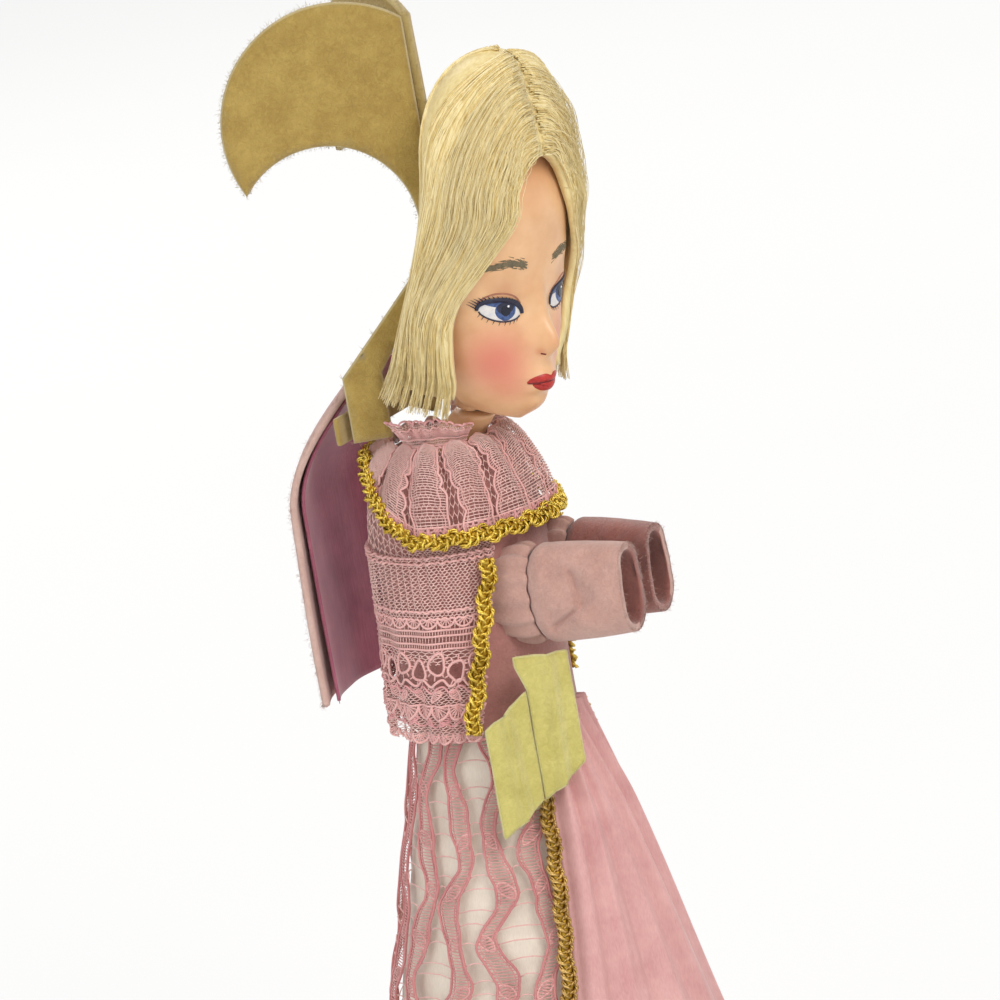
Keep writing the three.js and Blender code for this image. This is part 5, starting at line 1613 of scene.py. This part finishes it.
def mouth():
    """Two lips, the line between them and the nostrils."""
    across = np.linspace(-1, 1, 31)
    swell = 1 - across ** 2
    bow = 0.95 * swell ** 0.55 * (1 - 0.28 * np.exp(-((across / 0.16) ** 2)))
    part = 0.1 * np.cos(across * math.pi) - 0.05

    def lip(name, middle, *edges):
        """A lip between two edges, each with its half width and heights."""
        first, second = (np.stack([wide * across, height], axis=-1) for wide, height in edges)
        outline = np.concatenate([first, second[::-1]]) - np.array([0, middle])
        decal(name, (0, LIP_HEIGHT + middle), outline, 0.05, LIPS)

    lip("upper_lip", 0.28, (2.35, bow + 0.02), (2.3, part))
    lip("lower_lip", -0.5, (2.0, part - 0.06), (1.95, -1.15 * swell ** 0.5))
    line = Threads()
    stroke(line, 2.3 * across, LIP_HEIGHT + part - 0.02, 0.1 * swell ** 0.5 + 0.03, lift=0.06)
    steps = np.linspace(0, 1, 5)
    for side in (1, -1):
        stroke(line, side * (0.75 + 0.45 * steps), NOSTRIL_HEIGHT + 0.1 * steps, 0.13, lift=0.0)
    line.piece("mouth_line", LIP_LINE, "head", "celluloid")


def painted_face():
    for name, side in SIDES:
        eye(name, side)
        brow(name, side)
    mouth()


def head_outline(turn, c, away):
    """The head's round at a height, a distance off its skin."""
    front = np.where(np.cos(turn) > 0, face_depth(c), BACKING_DEPTH)
    return -(face_half_width(c) + away) * np.sin(turn), -(front + away) * np.cos(turn)


def hair_point(q, v, full, side):
    """A point of the hair on one side. q runs from the front edge to the nape, v from the parting down.

    full is 0 on the head and 1 on the hair's skin.
    """
    q, v, full = np.broadcast_arrays(*(np.asarray(x, dtype=float) for x in (q, v, full)))
    front = q < 0.5
    ahead = lerp(PARTING_FRONT, 88, np.minimum(2 * q, 1) ** 0.75)
    part = rad(np.where(front, ahead, lerp(88, 40, 2 * q - 1)))
    rim = rad(lerp(24, 179, q ** 0.85))
    w = np.clip(v / CROWN_SHARE, 0, 1)
    around = lerp(np.where(front, 0, math.pi), rim, w ** 0.7)
    rise = part * (1 - w ** 1.7)
    over = (full - 1) * HAIR_THICK
    x, y = head_outline(around, np.full(np.shape(around), HAIRLINE), HAIR_THICK + HAIR_CLEAR + over)
    draw = np.cos(rise) ** CROWN_ROUND
    z = lerp(HAIRLINE, HAIR_TOP + over, np.sin(rise))
    high = np.stack([x * draw, y * draw + CROWN_BULGE * np.sin(2 * rise), z], axis=-1)

    w = np.clip((v - CROWN_SHARE) / (1 - CROWN_SHARE), 0, 1)
    foot = np.where(front, HAIR_FOOT, HAIR_FOOT + 0.4)
    c = lerp(HAIRLINE, foot, w)
    nape = lerp(HAIR_SIDE + HAIR_SEAM, 180, 2 * q - 1)
    end = rad(np.where(front, lerp(HAIR_FACE, HAIR_SIDE, 2 * q), nape))
    turn = lerp(rim, end, smooth(w, 0, 0.62))
    s = np.clip((np.degrees(turn) - HAIR_FACE) / (HAIR_SIDE - HAIR_FACE), 0, 1)
    fall = np.clip((HAIRLINE - GAP - c) / (HAIRLINE - GAP - HAIR_FOOT), 0, 1) ** 2
    edge = smooth(np.degrees(turn), 20, HAIR_FACE)
    lock = HAIR_THICK * lerp(0.35, lerp(0.7, 1, np.sin(math.pi * s)), edge) * (1 + 0.8 * fall)
    thick = np.where(front, lock, 0.9)
    thick = lerp(HAIR_THICK, thick, smooth(w, 0, 0.25))
    x, y = head_outline(turn, np.maximum(c, HAIR_CHEEK), HAIR_CLEAR + full * thick)
    sideways = np.where(front, fall, 0)
    low = np.stack([x - HAIR_SPREAD * sideways, y + HAIR_SWEEP * s * sideways, c], axis=-1)
    place = np.where((v < CROWN_SHARE)[..., None], high, low)
    return head_place(place * np.array([side, 1, 1]))


def hair_shell(name, node, sides, q_range, v_range):
    """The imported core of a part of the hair."""
    q, v = np.meshgrid(np.linspace(*q_range, 48), np.linspace(*v_range, 40))
    ridge = 0.8 + 0.1 * np.sin(60 * q + 3 * np.sin(5 * v)) - 0.35 * smooth(v, 0.84, 0.95)
    points, faces = np.empty((0, 3)), []
    for side in sides:
        skin, head = hair_point(q, v, ridge, side), hair_point(q, v, 0.05, side)
        shell_points, shell_faces = double_shell(skin, head, start=len(points))
        points = np.vstack([points, shell_points])
        faces += shell_faces
    add_piece(name, points, faces, FLOSS, "head", [node], closed=True)


def hair_strands(name, side):
    """Fine floss from the parting to the ends, gathered into soft locks, with a few loose threads."""
    made = Threads()
    for _ in range(HAIR_STRANDS):
        q = rng.uniform(0, 1) ** 1.15
        lock = (math.floor(q * HAIR_LOCKS) + 0.5) / HAIR_LOCKS
        v = np.linspace(rng.uniform(0, 0.05), 1 - 0.13 * rng.uniform() ** 1.6, 30)
        pull = 0.8 * smooth(v, 0.45, 1.0)
        sway = 0.012 * np.sin(v * rng.uniform(6, 16) + rng.uniform(0, TAU))
        sway = sway + 0.01 * np.sin(v * 9 + lock * 40)
        path_q = np.clip(lerp(q, lock, pull) + sway * smooth(v, 0.05, 0.3), 0.0, 1.0)
        if q < 0.5:
            path_q = np.minimum(path_q, FRONT_HAIR_END)
        else:
            path_q = np.maximum(path_q, BACK_HAIR_START)
        swell = 0.06 * np.sin(v * rng.uniform(9, 22) + rng.uniform(0, TAU))
        full = 0.86 + 0.12 * rng.uniform() + swell - 0.25 * smooth(v, 0.92, 1.0) * rng.uniform()
        path = hair_point(path_q, v, full, side)
        radius = rng.uniform(0.05, 0.09)
        made.add(path, HAIR_FLAT, radius, sides=4, taper=0.6, kind=int(rng.integers(0, 3)))
    steps = np.linspace(0, 1, 14)
    for _ in range(LOOSE_STRANDS):
        q = rng.uniform(0, 0.3)
        start = rng.uniform(0, 0.5)
        v = np.linspace(start, min(start + rng.uniform(0.15, 0.4), 0.85), 14)
        lift = 1.0 + rng.uniform(0.1, 0.7) * np.sin(math.pi * steps)
        drift = q + rng.normal(0, 0.02) * steps
        path = hair_point(np.clip(drift, 0, 0.45), v, lift, side)
        made.add(path, HAIR_FLAT, 0.03, sides=3, kind=1)
    made.piece(name, [FLOSS, FLOSS_PALE, FLOSS_DEEP], "head", "floss")


def hair():
    """Floss hair, parted in the middle, that falls on both sides of the face."""
    hair_shell("crown_core", "hair_crown", (1, -1), (0, 1), (0, CROWN_SHARE + 0.02))
    for name, side in SIDES:
        hair_shell(f"side_hair_{name}", f"hair_{name}", (side,), (0, FRONT_HAIR_END), (CROWN_SHARE, 0.95))
    hair_shell("back_hair", "hair_back", (1, -1), (BACK_HAIR_START, 1), (CROWN_SHARE, 1))
    for name, side in SIDES:
        hair_strands(f"strands_{name}", side)


def neck():
    """The neck: a wrapped wire below and a round neck under the head, one turning on the other."""
    turn = np.linspace(0, TAU, NECK_POINTS, endpoint=False)
    forward = np.cos(turn)
    limit = (HEAD_AXIS_BACK - 0.1) / np.maximum(forward, 0.05)

    def ring(c, radius):
        flat = np.where(forward > 0.05, np.minimum(radius, limit), radius)
        x, y = -flat * np.sin(turn), HEAD_AXIS_BACK - flat * forward
        return head_place(np.stack([x, y, np.full_like(x, c)], axis=-1))

    bore = [(c, NECK_BORE) for c in (NECK_PROFILE[-1][0], NECK_PROFILE[0][0])]
    points = np.vstack([ring(c, radius) for c, radius in NECK_PROFILE + bore])
    faces = grid_faces(len(points) // NECK_POINTS + 1, NECK_POINTS, ring=True) % len(points)
    add_piece("celluloid_neck", points, faces, SKIN, "head", ["neck_socket"], closed=True)
    low, high = np.array([0.0, 0.3, 94.2]), head_place(np.array([0.0, HEAD_AXIS_BACK, -17.75]))
    lean = np.array([0.0, -math.sin(math.radians(HEAD_BOW)), math.cos(math.radians(HEAD_BOW))])
    rings = []
    for t in np.linspace(0, 1, 14):
        centre = lerp(low, high, t)
        up = unit(lerp(np.array([0.0, -0.5, 0.85]), lean, smooth(t, 0.4, 1)))
        across = np.array([1.0, 0.0, 0.0])
        ahead = np.cross(up, across)
        radius = lerp(2.6, 2.25, t) + 0.05 * math.sin(16 * t)
        rings.append(centre + radius * (np.cos(turn)[:, None] * across + np.sin(turn)[:, None] * ahead))
    wrap = capped_loft("neck_wrap", rings, SKIN, "figure", [])


# Assembly

keep_nodes()
body_cloth()
skirt_lace()
bolero_lace()
frills()
braids()
capes()
sleeves()
arm_roots()
song_book()
wings()
mask()
painted_face()
neck()
hair()
